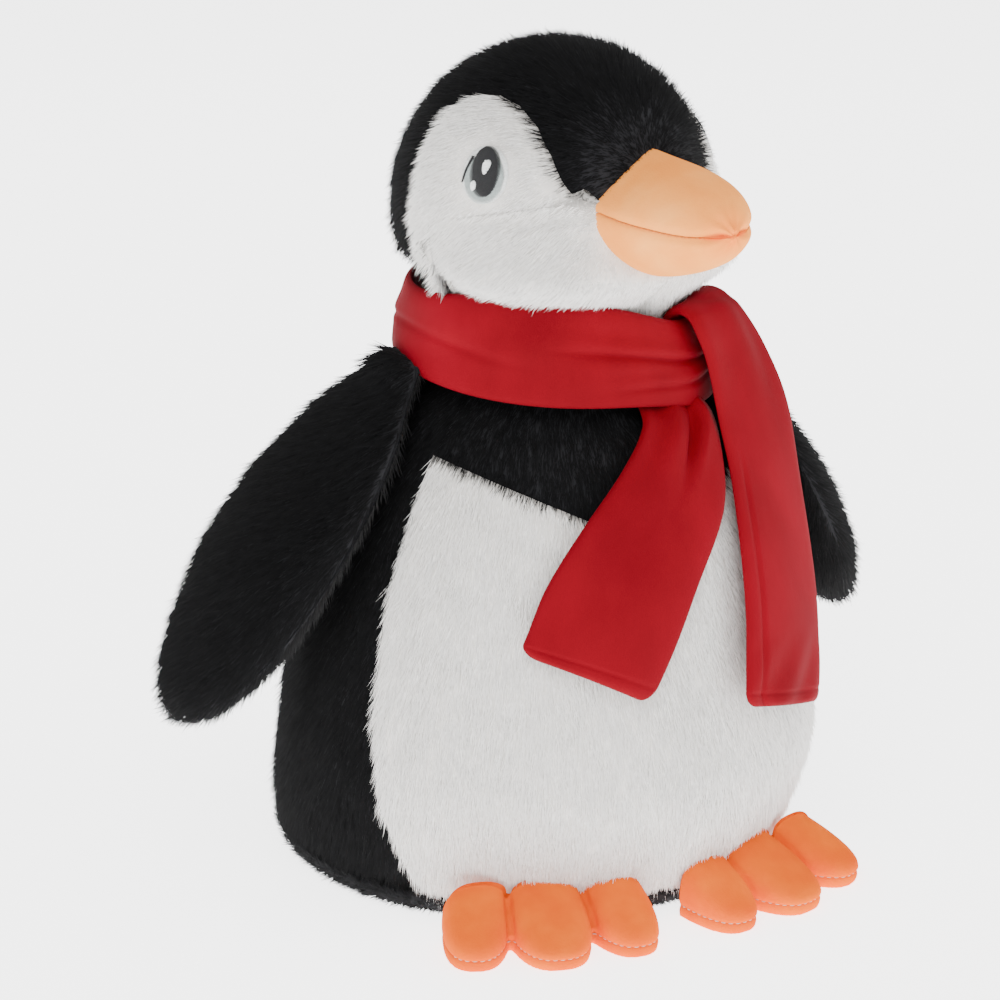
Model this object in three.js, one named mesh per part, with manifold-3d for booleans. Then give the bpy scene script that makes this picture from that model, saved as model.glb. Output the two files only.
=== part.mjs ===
// A stuffed plush penguin with a crossed scarf, standing on its flat base and two feet.
// Millimetres, +Z up. The origin is the centre of the flat base. The penguin faces -Y,
// so its own left side is +X. Every outer size is taken over the pile of the fabric.
import * as THREE from 'three';
import { mergeVertices } from 'three/addons/utils/BufferGeometryUtils.js';
import Module from 'manifold-3d';

const wasm = await Module();
wasm.setup();

// ---------- Driving dimensions ----------
const HEIGHT = 300;
const COVER = 5;                 // plush fabric with its pile
const GAP = 0.3;                 // between pieces sewn side by side
const FAR = 400;                 // reach of every cutting prism
const ROUND = 32;                // sides of the torso and head, outside
const ROUND_INSIDE = 16;         // and of their hollows and stuffing
const DEG = Math.PI / 180;

// Torso: a round body whose lowest part sits further back. Points are [radius, height].
const NECK_Z = 197;
const TORSO_SIDE = [
  [86, 0], [94, 5], [98, 18], [100, 40], [98.5, 66], [94, 92], [87, 120],
  [77, 148], [66, 168], [55, 180], [47, 189], [43, NECK_Z],
];
const TORSO_STEPS = 14;
const BASE_SETBACK = 14;         // how far the base lies behind the waist
const SETBACK_TOP = 60;          // height at which the body is centred again
const BASE_SEAM_Z = 7;

// A bag of pellets low in the body, and the pocket it sits in: [radius, height] points.
const POUCH = [[0, 7], [34, 7], [40, 12], [40, 22], [33, 28], [0, 31]];
const POCKET = [[0, 0], [42, 0], [42, 24], [35, 31], [0, 34]];

// Panels of the torso: the white belly ends in a shallow V under the black chest.
// The belly's side seams: [height, degrees either way from straight ahead].
const BELLY_EDGE = [[-1, 50], [20, 57], [45, 65.5], [75, 69], [120, 69.5], [165, 66], [FAR, 66]];
const V_LOW = 136;
const V_SLOPE = 0.455;

// Head: a ball on a short neck, turned a little to its own left.
const HEAD_R = 59;
const HEAD_Z = HEIGHT - HEAD_R;
const HEAD_Y = -4;
const HEAD_TURN = 12;            // degrees
const HEAD_BOTTOM = 198;
const NECK_SIDE = [[42, HEAD_BOTTOM], [42.5, 206], [45.5, 213], [50.5, 220]];
const BALL_START = -14 * DEG;    // elevation at which the ball leaves the neck
const BALL_STEPS = 8;
const HOOD_STRIPE_HALF = 29;     // half width of the strip over the crown

// Cheek outline, seen from the side: [y, z] from the nape round the eye to the beak.
const CHEEK = [
  [16, 190], [16, 235], [12, 252], [11, 268], [6, 280], [-3, 285], [-12, 285.5], [-22, 282.5],
  [-31, 276.5], [-39, 267], [-45, 257], [-51, 248.5], [-90, 248.5], [-90, 190],
];
const CHEEK_MIDDLE = [-24, 240];

// Beak, front to back: [y, half width, top, bottom] of each section.
const BEAK = [
  [-30, 25, 266, 224], [-50, 26, 265.5, 224], [-61, 25.5, 263.5, 224.5], [-70, 23, 260.5, 226.5],
  [-79, 18, 256, 230], [-85, 11.5, 251, 234.5], [-88, 5, 246.5, 239.5],
];
const BEAK_ROUND = 16;
const BEAK_COVER = 3;
const BEAK_REACH = -25;          // the beak lies wholly ahead of this y
const MOUTH = [[-30, 248.5], [-52, 247], [-70, 244.5], [-82, 242.5], [-110, 240]];

// Eyes: embroidered ovals on the cheeks.
const EYE = { y: -23.5, z: 260, halfWidth: 6, halfHeight: 9.5, thickness: 1.5, sides: 16 };

// Wings: flat flippers hung from the shoulders, a little rounder on their outer face.
// Each row is [along, half width, outer half thickness, inner half thickness].
const WING_ROOT = { x: 64, z: 182 };
const WING_HANG = { left: 31, right: 34.5 };   // degrees outward from straight down
const WING_REACH = { left: 0.94, right: 1 };   // the left one is sewn deeper into its seam
const WING_SWEEP = 6;            // degrees back
const WING_COVER = 4;
const WING_ROUND = 14;
const WING = [
  [-6, 11, 1, 1], [-4.5, 15, 4, 4], [0, 21, 6.5, 5], [14, 30, 9, 5], [34, 37, 12.5, 5],
  [56, 41, 16, 8], [78, 41, 17, 11], [98, 37.5, 15.5, 11.5], [114, 31, 13, 10.5], [127, 23, 10, 8],
  [135, 13.5, 6, 5], [138.5, 5, 2, 2],
];

// Feet: three toes each, under the front of the belly.
const FOOT_SPLAY = 16;           // degrees outward
const FOOT = { x: 37.6, y: -60.7, toeLength: 32, toeHeight: 19 };
const TOES = [
  { sideways: -20.8, ahead: 8.5, fan: -12, halfWidth: 12 },
  { sideways: 0, ahead: 12.5, fan: 0, halfWidth: 14.5 },
  { sideways: 20.8, ahead: 8.5, fan: 12, halfWidth: 12 },
];
const WEB = { ahead: 17, halfWidth: 27, halfLength: 10, height: 14 };   // joins the toes
const PAD_MIDDLE = 6;            // height of a toe's widest section
const PAD_UNDER = 14;            // how deep a toe would reach if the floor didn't cut it
const PAD_BLUNTNESS = 0.7;
const SOLE = 3.5;
const FOOT_COVER = 3;
const FOOT_CLEAR = 1.2;          // between a foot and the torso it is sewn under

// Scarf: a doubled strip of smooth cloth round the neck, crossing at the front.
const CLOTH = 4;
const COLLAR = { y: -3.5, lowFront: 181, highFront: 209.5, lowBack: 193, highBack: 216.5 };
const COLLAR_STEPS = 32;
const COLLAR_TOP_R = 48.5;
const COLLAR_FRONT_R = 57;       // inner radius at the lower edge, in front
const COLLAR_BACK_R = 52.5;
const CROSSING = 30;             // degrees left of straight ahead, where the two tails leave
const TAIL_CLEAR = 3.2;          // between the under tail and the torso

// The tail that hangs from under the collar and lies on the belly, slanting to the right.
// Each row is [x, z] of its right edge, then of its left edge, as the penguin has them.
const UNDER_TAIL = [
  [-28, 177.5, -13, 177.5], [-47, 164, -13, 164], [-62.5, 149, -13, 147],
  [-76, 128, -38, 124.5], [-86, 106, -62, 88],
];

// The tail that comes over the collar's top edge and hangs free in front of the belly.
// Each row is [x, y, z] of its right edge, then of its left edge.
const OVER_TAIL = [
  [0, -61, 206, 25, -60.5, 205], [-2.5, -65.5, 195, 37, -66, 194], [-5.5, -71.5, 172, 37, -75, 171],
  [-11, -80.5, 150, 34, -82.5, 146], [-24, -93, 115, 25, -95.5, 106], [-35, -100, 83, 17, -102, 69],
];

// The bend of that tail over the collar's top edge.
const LOOP = { from: 32 * DEG, to: 60 * DEG, bend: 5.2, rises: [75, 50, 25, 0] };

// ---------- Materials ----------
function cloth(colour, roughness) {
  return new THREE.MeshStandardMaterial({ color: colour, roughness, metalness: 0 });
}
const BLACK = cloth(0x17171a, 0.95);
const WHITE = cloth(0xece8e1, 0.95);
const BEAK_CLOTH = cloth(0xf2b57c, 0.85);
const FOOT_CLOTH = cloth(0xf08a3c, 0.85);
const SCARF_CLOTH = cloth(0xb3141f, 0.7);
const THREAD = cloth(0x0c0c0e, 0.4);
const STUFFING = cloth(0xf7f7f4, 1);
const PELLETS = cloth(0xd8d4c8, 0.9);

// ---------- Solids ----------
function asSolid(geometry) {
  geometry.deleteAttribute('normal');
  geometry.deleteAttribute('uv');
  const merged = mergeVertices(geometry, 1e-3);
  const corners = merged.index.array;
  const kept = [];
  for (let i = 0; i < corners.length; i += 3) {
    const [a, b, c] = corners.slice(i, i + 3);
    if (a !== b && b !== c && c !== a) kept.push(a, b, c);
  }
  const mesh = new wasm.Mesh({
    numProp: 3,
    vertProperties: merged.attributes.position.array,
    triVerts: new Uint32Array(kept),
  });
  return new wasm.Manifold(mesh);
}

function asGeometry(solid) {
  const { vertProperties, triVerts } = solid.getMesh();
  const geometry = new THREE.BufferGeometry();
  geometry.setAttribute('position', new THREE.BufferAttribute(vertProperties, 3));
  geometry.setIndex(new THREE.BufferAttribute(triVerts, 1));
  geometry.computeVertexNormals();
  return geometry;
}

// A profile of [radius, height] points, turned about Z.
function revolve(profile, sides = ROUND) {
  const points = profile.map(([r, z]) => new THREE.Vector2(r, z));
  return new THREE.LatheGeometry(points, sides).rotateX(Math.PI / 2);
}

// An outline of [y, z] points, carried along X from x0 to x1.
function prismX(outline, x0, x1) {
  const shape = new THREE.Shape(outline.map(([y, z]) => new THREE.Vector2(y, z)));
  const geometry = new THREE.ExtrudeGeometry(shape, { depth: x1 - x0, bevelEnabled: false });
  const axes = new THREE.Matrix4().makeBasis(
    new THREE.Vector3(0, 1, 0), new THREE.Vector3(0, 0, 1), new THREE.Vector3(1, 0, 0));
  return asSolid(geometry.applyMatrix4(axes).translate(x0, 0, 0));
}

// An outline of [x, z] points, carried along Y from y0 to y1.
function prismY(outline, y0, y1) {
  const shape = new THREE.Shape(outline.map(([x, z]) => new THREE.Vector2(x, z)));
  const geometry = new THREE.ExtrudeGeometry(shape, { depth: y1 - y0, bevelEnabled: false });
  const axes = new THREE.Matrix4().makeBasis(
    new THREE.Vector3(1, 0, 0), new THREE.Vector3(0, 0, 1), new THREE.Vector3(0, -1, 0));
  return asSolid(geometry.applyMatrix4(axes).translate(0, y1, 0));
}

function block(x0, x1, y0, y1, z0, z1) {
  const box = new THREE.BoxGeometry(x1 - x0, y1 - y0, z1 - z0);
  return asSolid(box.translate((x0 + x1) / 2, (y0 + y1) / 2, (z0 + z1) / 2));
}

// Rings of points joined in order into one closed solid; loop joins the last to the first.
function loft(rings, loop = false) {
  const size = rings[0].length;
  const positions = rings.flat().flatMap((p) => [p.x, p.y, p.z]);
  const corners = [];
  const joins = loop ? rings.length : rings.length - 1;
  for (let i = 0; i < joins; i += 1) {
    const here = i * size;
    const next = ((i + 1) % rings.length) * size;
    for (let j = 0; j < size; j += 1) {
      const k = (j + 1) % size;
      corners.push(here + j, here + k, next + k, here + j, next + k, next + j);
    }
  }
  if (!loop) {
    const last = (rings.length - 1) * size;
    for (let j = 1; j < size - 1; j += 1) {
      corners.push(0, j + 1, j);
      corners.push(last, last + j, last + j + 1);
    }
  }
  const geometry = new THREE.BufferGeometry();
  geometry.setAttribute('position', new THREE.Float32BufferAttribute(positions, 3));
  geometry.setIndex(corners);
  const solid = asSolid(geometry);
  if (solid.volume() > 0) return solid;
  for (let i = 0; i < corners.length; i += 3) {
    [corners[i + 1], corners[i + 2]] = [corners[i + 2], corners[i + 1]];
  }
  geometry.setIndex(corners);
  return asSolid(geometry);
}

// The same profile, moved inward by depth; heights at the open end are kept.
function inset(profile, depth) {
  return profile.map(([r, z], i) => {
    const before = profile[Math.max(i - 1, 0)];
    const after = profile[Math.min(i + 1, profile.length - 1)];
    const run = new THREE.Vector2(after[0] - before[0], after[1] - before[1]).normalize();
    return [Math.max(r - run.y * depth, 0), z + run.x * depth];
  });
}

function smooth(points, steps) {
  const curve = new THREE.SplineCurve(points.map(([a, b]) => new THREE.Vector2(a, b)));
  return curve.getPoints(steps).map((p) => [p.x, p.y]);
}

const parts = new THREE.Group();

function add(parent, name, solid, material) {
  const mesh = new THREE.Mesh(asGeometry(solid), material);
  mesh.name = name;
  parent.add(mesh);
}

// ---------- Torso ----------
const torsoSide = smooth(TORSO_SIDE, TORSO_STEPS);

function setBack(geometry) {
  const position = geometry.attributes.position;
  for (let i = 0; i < position.count; i += 1) {
    const rise = THREE.MathUtils.clamp(position.getZ(i) / SETBACK_TOP, 0, 1);
    const shift = BASE_SETBACK * (1 - THREE.MathUtils.smoothstep(rise, 0, 1));
    position.setY(i, position.getY(i) + shift);
  }
  return geometry;
}

function torsoSolid(depth, top, sides) {
  const side = depth === 0 ? torsoSide : inset(torsoSide, depth);
  const rim = side[side.length - 1][0];
  const rising = side.filter(([, z]) => z > depth && z < top - 1);
  const profile = [[0, depth], [TORSO_SIDE[0][0] - depth, depth], ...rising, [rim, top], [0, top]];
  return asSolid(setBack(revolve(profile, sides)));
}

function bellySlice([z, degrees]) {
  const x = FAR * Math.sin(degrees * DEG);
  const y = -FAR * Math.cos(degrees * DEG);
  return [[0, 0], [-x, y], [-x, -FAR], [x, -FAR], [x, y]].map(([a, b]) => [a, b, z]);
}

// Everything in front of the belly's two side seams.
function bellyWedge() {
  const slices = BELLY_EDGE.map(bellySlice);
  const layers = slices.slice(1).map((slice, i) => wasm.Manifold.hull([...slices[i], ...slice]));
  return wasm.Manifold.union(layers);
}

function belowV(raise) {
  const edge = V_LOW + raise + V_SLOPE * FAR;
  return prismY([[-FAR, -1], [FAR, -1], [FAR, edge], [0, V_LOW + raise], [-FAR, edge]], -FAR, FAR);
}

const shell = torsoSolid(0, NECK_Z, ROUND).subtract(torsoSolid(COVER, NECK_Z + 10, ROUND_INSIDE));
const aboveBase = shell.intersect(block(-FAR, FAR, -FAR, FAR, BASE_SEAM_Z + GAP, FAR));
const front = bellyWedge();
const wideFront = front.translate([0, -GAP * 1.5, 0]);
const narrowBack = aboveBase.subtract(front.translate([0, GAP, 0]));
const pocket = asSolid(revolve(POCKET, ROUND_INSIDE).translate(0, BASE_SETBACK, 0));

add(parts, 'belly_panel', aboveBase.intersect(wideFront).intersect(belowV(-GAP)), WHITE);
add(parts, 'chest_panel', aboveBase.intersect(wideFront).subtract(belowV(0)), BLACK);
add(parts, 'back_panel_left', narrowBack.intersect(block(GAP / 2, FAR, -FAR, FAR, 0, FAR)), BLACK);
add(parts, 'back_panel_right', narrowBack.intersect(block(-FAR, -GAP / 2, -FAR, FAR, 0, FAR)), BLACK);
add(parts, 'base_panel', shell.intersect(block(-FAR, FAR, -FAR, FAR, -1, BASE_SEAM_Z)), BLACK);
add(parts, 'body_stuffing',
  torsoSolid(COVER + GAP, NECK_Z, ROUND_INSIDE).subtract(pocket), STUFFING);
add(parts, 'pellet_pouch',
  asSolid(revolve(POUCH, ROUND_INSIDE).translate(0, BASE_SETBACK, 0)), PELLETS);

// ---------- Head ----------
const head = new THREE.Group();
head.position.set(0, HEAD_Y, 0);
head.rotation.z = HEAD_TURN * DEG;
parts.add(head);

function headSolid(depth, bottom, sides) {
  const ball = [];
  for (let i = 0; i <= BALL_STEPS; i += 1) {
    const angle = THREE.MathUtils.lerp(BALL_START, Math.PI / 2, i / BALL_STEPS);
    ball.push([HEAD_R * Math.cos(angle), HEAD_Z + HEAD_R * Math.sin(angle)]);
  }
  const side = inset([...NECK_SIDE, ...ball], depth).filter(([, z]) => z > bottom + 1);
  const rim = [NECK_SIDE[0][0] - depth, bottom];
  const crown = [0, HEIGHT - depth];
  return asSolid(revolve([[0, bottom], rim, ...side.slice(0, -1), crown], sides));
}

const headOuter = headSolid(0, HEAD_BOTTOM, ROUND);
const headShell = headOuter.subtract(headSolid(COVER, HEAD_BOTTOM - 10, ROUND_INSIDE));
const cheeks = prismX(CHEEK, -FAR, FAR);
const cheekGap = prismX(CHEEK.map(([y, z]) => {
  const out = new THREE.Vector2(y - CHEEK_MIDDLE[0], z - CHEEK_MIDDLE[1]);
  out.setLength(out.length() + 2 * GAP);
  return [CHEEK_MIDDLE[0] + out.x, CHEEK_MIDDLE[1] + out.y];
}), -FAR, FAR);
const hood = headShell.subtract(cheekGap);
const stripe = block(-HOOD_STRIPE_HALF, HOOD_STRIPE_HALF, -FAR, FAR, 0, FAR);
const leftOfStripe = block(HOOD_STRIPE_HALF + GAP, FAR, -FAR, FAR, 0, FAR);
const rightOfStripe = block(-FAR, -HOOD_STRIPE_HALF - GAP, -FAR, FAR, 0, FAR);
const leftHalf = block(GAP / 2, FAR, -FAR, FAR, 0, FAR);
const rightHalf = block(-FAR, -GAP / 2, -FAR, FAR, 0, FAR);

add(head, 'head_gusset', hood.intersect(stripe), BLACK);
add(head, 'head_side_left', hood.intersect(leftOfStripe), BLACK);
add(head, 'head_side_right', hood.intersect(rightOfStripe), BLACK);
add(head, 'face_left', headShell.intersect(cheeks).intersect(leftHalf), WHITE);
add(head, 'face_right', headShell.intersect(cheeks).intersect(rightHalf), WHITE);
add(head, 'head_stuffing', headSolid(COVER + GAP, HEAD_BOTTOM, ROUND_INSIDE), STUFFING);

function grownHead(by) {
  const scale = (HEAD_R + by) / HEAD_R;
  return headOuter.translate([0, 0, -HEAD_Z]).scale([scale, scale, scale]).translate([0, 0, HEAD_Z]);
}

function eye(side) {
  const oval = [];
  for (let i = 0; i < EYE.sides; i += 1) {
    const turn = (i / EYE.sides) * 2 * Math.PI;
    oval.push([EYE.y + EYE.halfWidth * Math.cos(turn), EYE.z + EYE.halfHeight * Math.sin(turn)]);
  }
  const column = side > 0 ? prismX(oval, HOOD_STRIPE_HALF, FAR) : prismX(oval, -FAR, -HOOD_STRIPE_HALF);
  return column.intersect(grownHead(EYE.thickness + GAP)).subtract(grownHead(GAP));
}
add(head, 'eye_left', eye(1), THREAD);
add(head, 'eye_right', eye(-1), THREAD);

// ---------- Beak ----------
function beakSolid(depth) {
  const rings = BEAK.map(([y, halfWidth, top, bottom], i) => {
    const shorten = i === BEAK.length - 1 ? depth : 0;
    const ring = [];
    const middle = (top + bottom) / 2;
    const halfHeight = (top - bottom) / 2;
    for (let j = 0; j < BEAK_ROUND; j += 1) {
      const turn = (j / BEAK_ROUND) * 2 * Math.PI;
      ring.push(new THREE.Vector3(
        Math.max(halfWidth - depth, 1) * Math.cos(turn), y + shorten,
        middle + Math.max(halfHeight - depth, 1) * Math.sin(turn)));
    }
    return ring;
  });
  return loft(rings);
}

function aboveMouth(raise) {
  const line = MOUTH.map(([y, z]) => [y, z + raise]);
  const [backY, frontY] = [MOUTH[0][0], MOUTH[MOUTH.length - 1][0]];
  return prismX([...line, [frontY, FAR], [backY, FAR]].reverse(), -FAR, FAR);
}

const clearOfHead = grownHead(GAP);
const ahead = block(-FAR, FAR, -FAR, BEAK_REACH, 0, FAR);
const beakShell = beakSolid(0).subtract(beakSolid(BEAK_COVER)).subtract(clearOfHead).intersect(ahead);
const beakCore = beakSolid(BEAK_COVER + GAP).subtract(clearOfHead).intersect(ahead);
add(head, 'beak_upper', beakShell.intersect(aboveMouth(GAP / 2)), BEAK_CLOTH);
add(head, 'beak_lower', beakShell.subtract(aboveMouth(-GAP / 2)), BEAK_CLOTH);
add(head, 'beak_stuffing', beakCore, STUFFING);

// ---------- Wings ----------
function wingSolid(depth, side, reach) {
  const rings = WING.map(([along, halfWidth, outer, inner]) => {
    const ring = [];
    const end = WING[WING.length - 1][0];
    const inside = reach * THREE.MathUtils.clamp(along, WING[0][0] + depth, end - depth);
    for (let j = 0; j < WING_ROUND; j += 1) {
      const turn = (j / WING_ROUND) * 2 * Math.PI;
      const halfThickness = Math.cos(turn) * side > 0 ? outer : inner;
      ring.push(new THREE.Vector3(
        Math.max(halfThickness - depth, 0.6) * Math.cos(turn),
        Math.max(halfWidth - depth, 2) * Math.sin(turn), -inside));
    }
    return ring;
  });
  const kept = rings.filter((ring, i) => i === 0 || ring[0].z < rings[i - 1][0].z - 0.5);
  return loft(kept);
}

function wing(side, word) {
  const group = new THREE.Group();
  group.position.set(side * WING_ROOT.x, 0, WING_ROOT.z);
  group.rotation.set(WING_SWEEP * DEG, -side * WING_HANG[word] * DEG, 0);
  parts.add(group);
  const reach = WING_REACH[word];
  const cover = wingSolid(0, side, reach).subtract(wingSolid(WING_COVER, side, reach));
  const outer = block(GAP / 2, FAR, -FAR, FAR, -FAR, FAR);
  const inner = block(-FAR, -GAP / 2, -FAR, FAR, -FAR, FAR);
  add(group, `wing_${word}_outer_panel`, cover.intersect(side > 0 ? outer : inner), BLACK);
  add(group, `wing_${word}_inner_panel`, cover.intersect(side > 0 ? inner : outer), BLACK);
  add(group, `wing_${word}_stuffing`, wingSolid(WING_COVER + GAP, side, reach), STUFFING);
}
wing(1, 'left');
wing(-1, 'right');

// ---------- Feet ----------
// A blunt flattened pad, cut off flat at the floor later; depth makes it smaller all round.
function pad(halfWidth, halfLength, height, depth) {
  const geometry = new THREE.SphereGeometry(1, 12, 8).rotateX(Math.PI / 2);
  const position = geometry.attributes.position;
  const blunt = (v) => Math.sign(v) * Math.abs(v) ** PAD_BLUNTNESS;
  for (let i = 0; i < position.count; i += 1) {
    const rise = position.getZ(i) > 0 ? height - PAD_MIDDLE : PAD_UNDER;
    position.setXYZ(i, blunt(position.getX(i)) * (halfWidth - depth),
      blunt(position.getY(i)) * (halfLength - depth), blunt(position.getZ(i)) * (rise - depth));
  }
  return geometry.translate(0, 0, PAD_MIDDLE);
}

function toes(depth, side) {
  let all = asSolid(pad(WEB.halfWidth, WEB.halfLength, WEB.height, depth).translate(0, -WEB.ahead, 0));
  for (const { sideways, ahead, fan, halfWidth } of TOES) {
    const toe = pad(halfWidth, FOOT.toeLength, FOOT.toeHeight, depth);
    toe.translate(0, -ahead, 0).rotateZ(side * fan * DEG).translate(side * sideways, 0, 0);
    all = all.add(asSolid(toe));
  }
  return all;
}

const aboveHeight = (z) => block(-FAR, FAR, -FAR, FAR, z, FAR);

function foot(side, word) {
  const group = new THREE.Group();
  group.position.set(side * FOOT.x, FOOT.y, 0);
  group.rotation.z = side * FOOT_SPLAY * DEG;
  parts.add(group);
  group.updateMatrixWorld();
  const toFoot = group.matrixWorld.clone().invert();
  const [rim, ...rising] = inset(torsoSide, -FOOT_CLEAR);
  const profile = [[0, -FAR], [rim[0], -FAR], ...rising, [0, NECK_Z]];
  const body = asSolid(setBack(revolve(profile, ROUND)).applyMatrix4(toFoot));
  const bodyCover = body.translate([0, -FOOT_COVER, 0]);
  const whole = toes(0, side).subtract(body).intersect(aboveHeight(0));
  const inside = toes(FOOT_COVER, side).subtract(bodyCover);
  const core = toes(FOOT_COVER + GAP, side).subtract(bodyCover.translate([0, -GAP, 0]));
  add(group, `foot_${word}_sole`, whole.subtract(aboveHeight(SOLE)), FOOT_CLOTH);
  add(group, `foot_${word}_top`, whole.intersect(aboveHeight(SOLE + GAP)).subtract(inside), FOOT_CLOTH);
  add(group, `foot_${word}_stuffing`, core.intersect(aboveHeight(SOLE + 2 * GAP)), STUFFING);
}
foot(1, 'left');
foot(-1, 'right');

// ---------- Scarf ----------
// Height of the collar's edges, and its inner radius at the lower one, at a turn from ahead.
function collarAt(turn) {
  const forward = (1 + Math.cos(turn)) / 2;
  return {
    low: THREE.MathUtils.lerp(COLLAR.lowBack, COLLAR.lowFront, forward),
    high: THREE.MathUtils.lerp(COLLAR.highBack, COLLAR.highFront, forward),
    lowR: THREE.MathUtils.lerp(COLLAR_BACK_R, COLLAR_FRONT_R, forward),
  };
}

function collar() {
  const rings = [];
  for (let i = 0; i < COLLAR_STEPS; i += 1) {
    const turn = (i / COLLAR_STEPS) * 2 * Math.PI;
    const { low, high, lowR } = collarAt(turn);
    const section = [
      [lowR, low], [COLLAR_TOP_R, high], [COLLAR_TOP_R + CLOTH / 2, high + 1],
      [COLLAR_TOP_R + CLOTH, high], [(lowR + COLLAR_TOP_R) / 2 + CLOTH + 1, (low + high) / 2],
      [lowR + CLOTH, low], [lowR + CLOTH / 2, low - 1],
    ];
    rings.push(section.map(([r, z]) => new THREE.Vector3(
      r * Math.sin(turn), COLLAR.y - r * Math.cos(turn), z)));
  }
  return loft(rings, true);
}
add(parts, 'scarf_collar', collar(), SCARF_CLOTH);

// Both tails are made facing -Y in a group that is turned to the crossing.
const tails = new THREE.Group();
tails.rotation.z = CROSSING * DEG;
parts.add(tails);

// A strip of cloth through cross lines of points, CLOTH thick, bulging a little.
function strip(lines) {
  const rings = lines.map((line, i) => {
    const above = lines[Math.max(i - 1, 0)];
    const below = lines[Math.min(i + 1, lines.length - 1)];
    const face = line.map((p, j) => {
      const across = line[Math.min(j + 1, line.length - 1)].clone().sub(line[Math.max(j - 1, 0)]);
      const down = below[j].clone().sub(above[j]);
      return across.cross(down).normalize();
    });
    const edge = (j) => (j === 0 || j === line.length - 1 ? 0.55 : 1) * (CLOTH / 2);
    const fore = line.map((p, j) => p.clone().addScaledVector(face[j], edge(j)));
    const aft = line.map((p, j) => p.clone().addScaledVector(face[j], -edge(j)));
    return [...fore, ...aft.reverse()];
  });
  return loft(rings);
}

const torsoRadius = (z) => {
  const i = torsoSide.findIndex(([, height]) => height >= z);
  const [[r0, z0], [r1, z1]] = [torsoSide[i - 1], torsoSide[i]];
  return THREE.MathUtils.mapLinear(z, z0, z1, r0, r1);
};

function underTail() {
  const lines = UNDER_TAIL.map(([xa, za, xb, zb]) => {
    const line = [];
    for (let j = 0; j <= 4; j += 1) {
      const x = THREE.MathUtils.lerp(xa, xb, j / 4);
      const z = THREE.MathUtils.lerp(za, zb, j / 4);
      const reach = torsoRadius(z) + CLOTH / 2 + TAIL_CLEAR;
      line.push(new THREE.Vector3(x, -Math.sqrt(reach * reach - x * x), z));
    }
    return line;
  });
  return strip(lines);
}
add(tails, 'scarf_tail_under', underTail(), SCARF_CLOTH);

function overTail() {
  const lines = OVER_TAIL.map(([xa, ya, za, xb, yb, zb]) => {
    const from = new THREE.Vector3(xa, ya, za);
    const to = new THREE.Vector3(xb, yb, zb);
    return [0, 1, 2, 3].map((j) => from.clone().lerp(to, j / 3));
  });
  return strip(lines);
}
add(tails, 'scarf_tail_over', overTail(), SCARF_CLOTH);

function scarfLoop() {
  const lines = LOOP.rises.map((rise) => {
    const out = LOOP.bend * Math.cos(rise * DEG);
    const up = LOOP.bend * Math.sin(rise * DEG);
    return [0, 1, 2, 3].map((j) => {
      const turn = THREE.MathUtils.lerp(LOOP.from, LOOP.to, j / 3);
      const r = COLLAR_TOP_R + CLOTH / 2 + out;
      const z = collarAt(turn).high + 1 + up;
      return new THREE.Vector3(r * Math.sin(turn), COLLAR.y - r * Math.cos(turn), z);
    });
  });
  return strip(lines);
}
add(parts, 'scarf_loop', scarfLoop(), SCARF_CLOTH);

export default parts;
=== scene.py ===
"""Looks of a stuffed plush penguin: furry panels, velour beak and feet, a red cloth scarf.

Metres, +Z up, in the frame of the CAD part: the penguin faces -Y and its left side is +X.
Each furry panel is a crowned pad a little inside its CAD solid, and its pile is made of fine
closed hairs that reach about as far as the CAD surface.
"""

import math

import bmesh
import bpy
import numpy as np
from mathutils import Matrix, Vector, kdtree


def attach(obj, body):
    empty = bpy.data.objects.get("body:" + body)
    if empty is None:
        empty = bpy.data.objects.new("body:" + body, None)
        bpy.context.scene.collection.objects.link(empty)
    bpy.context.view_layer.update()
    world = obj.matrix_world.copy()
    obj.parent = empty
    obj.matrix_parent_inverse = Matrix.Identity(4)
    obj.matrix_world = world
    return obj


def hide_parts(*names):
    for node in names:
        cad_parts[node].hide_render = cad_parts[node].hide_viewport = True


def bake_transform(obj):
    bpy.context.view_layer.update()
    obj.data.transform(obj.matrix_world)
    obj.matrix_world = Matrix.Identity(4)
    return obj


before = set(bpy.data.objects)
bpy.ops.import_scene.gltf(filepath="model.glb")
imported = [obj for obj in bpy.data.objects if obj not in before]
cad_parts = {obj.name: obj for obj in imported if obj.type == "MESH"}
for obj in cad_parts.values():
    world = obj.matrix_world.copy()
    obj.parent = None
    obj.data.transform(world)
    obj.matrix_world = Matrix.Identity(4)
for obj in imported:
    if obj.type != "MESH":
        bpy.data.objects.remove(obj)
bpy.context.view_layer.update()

MM = 0.001
SIDES = (("left", 1), ("right", -1))
rng = np.random.default_rng(7)

# ---------- Driving dimensions, in millimetres and degrees, as in the part ----------
HEIGHT = 300
NECK_Z = 197
TORSO_SIDE = [          # radius, height
    (86, 0), (94, 5), (98, 18), (100, 40), (98.5, 66), (94, 92), (87, 120),
    (77, 148), (66, 168), (55, 180), (47, 189), (43, NECK_Z),
]
BASE_SETBACK, SETBACK_TOP, BASE_SEAM_Z = 14, 60, 7
BELLY_LOW = 4          # the belly's cloth is drawn a little over the base seam
# height, and how far round the belly reaches there, in degrees
BELLY_EDGE = [(-1, 50), (20, 57), (45, 65.5), (75, 69), (120, 69.5), (165, 66), (400, 66)]
V_LOW, V_SLOPE = 136, 0.455

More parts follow.
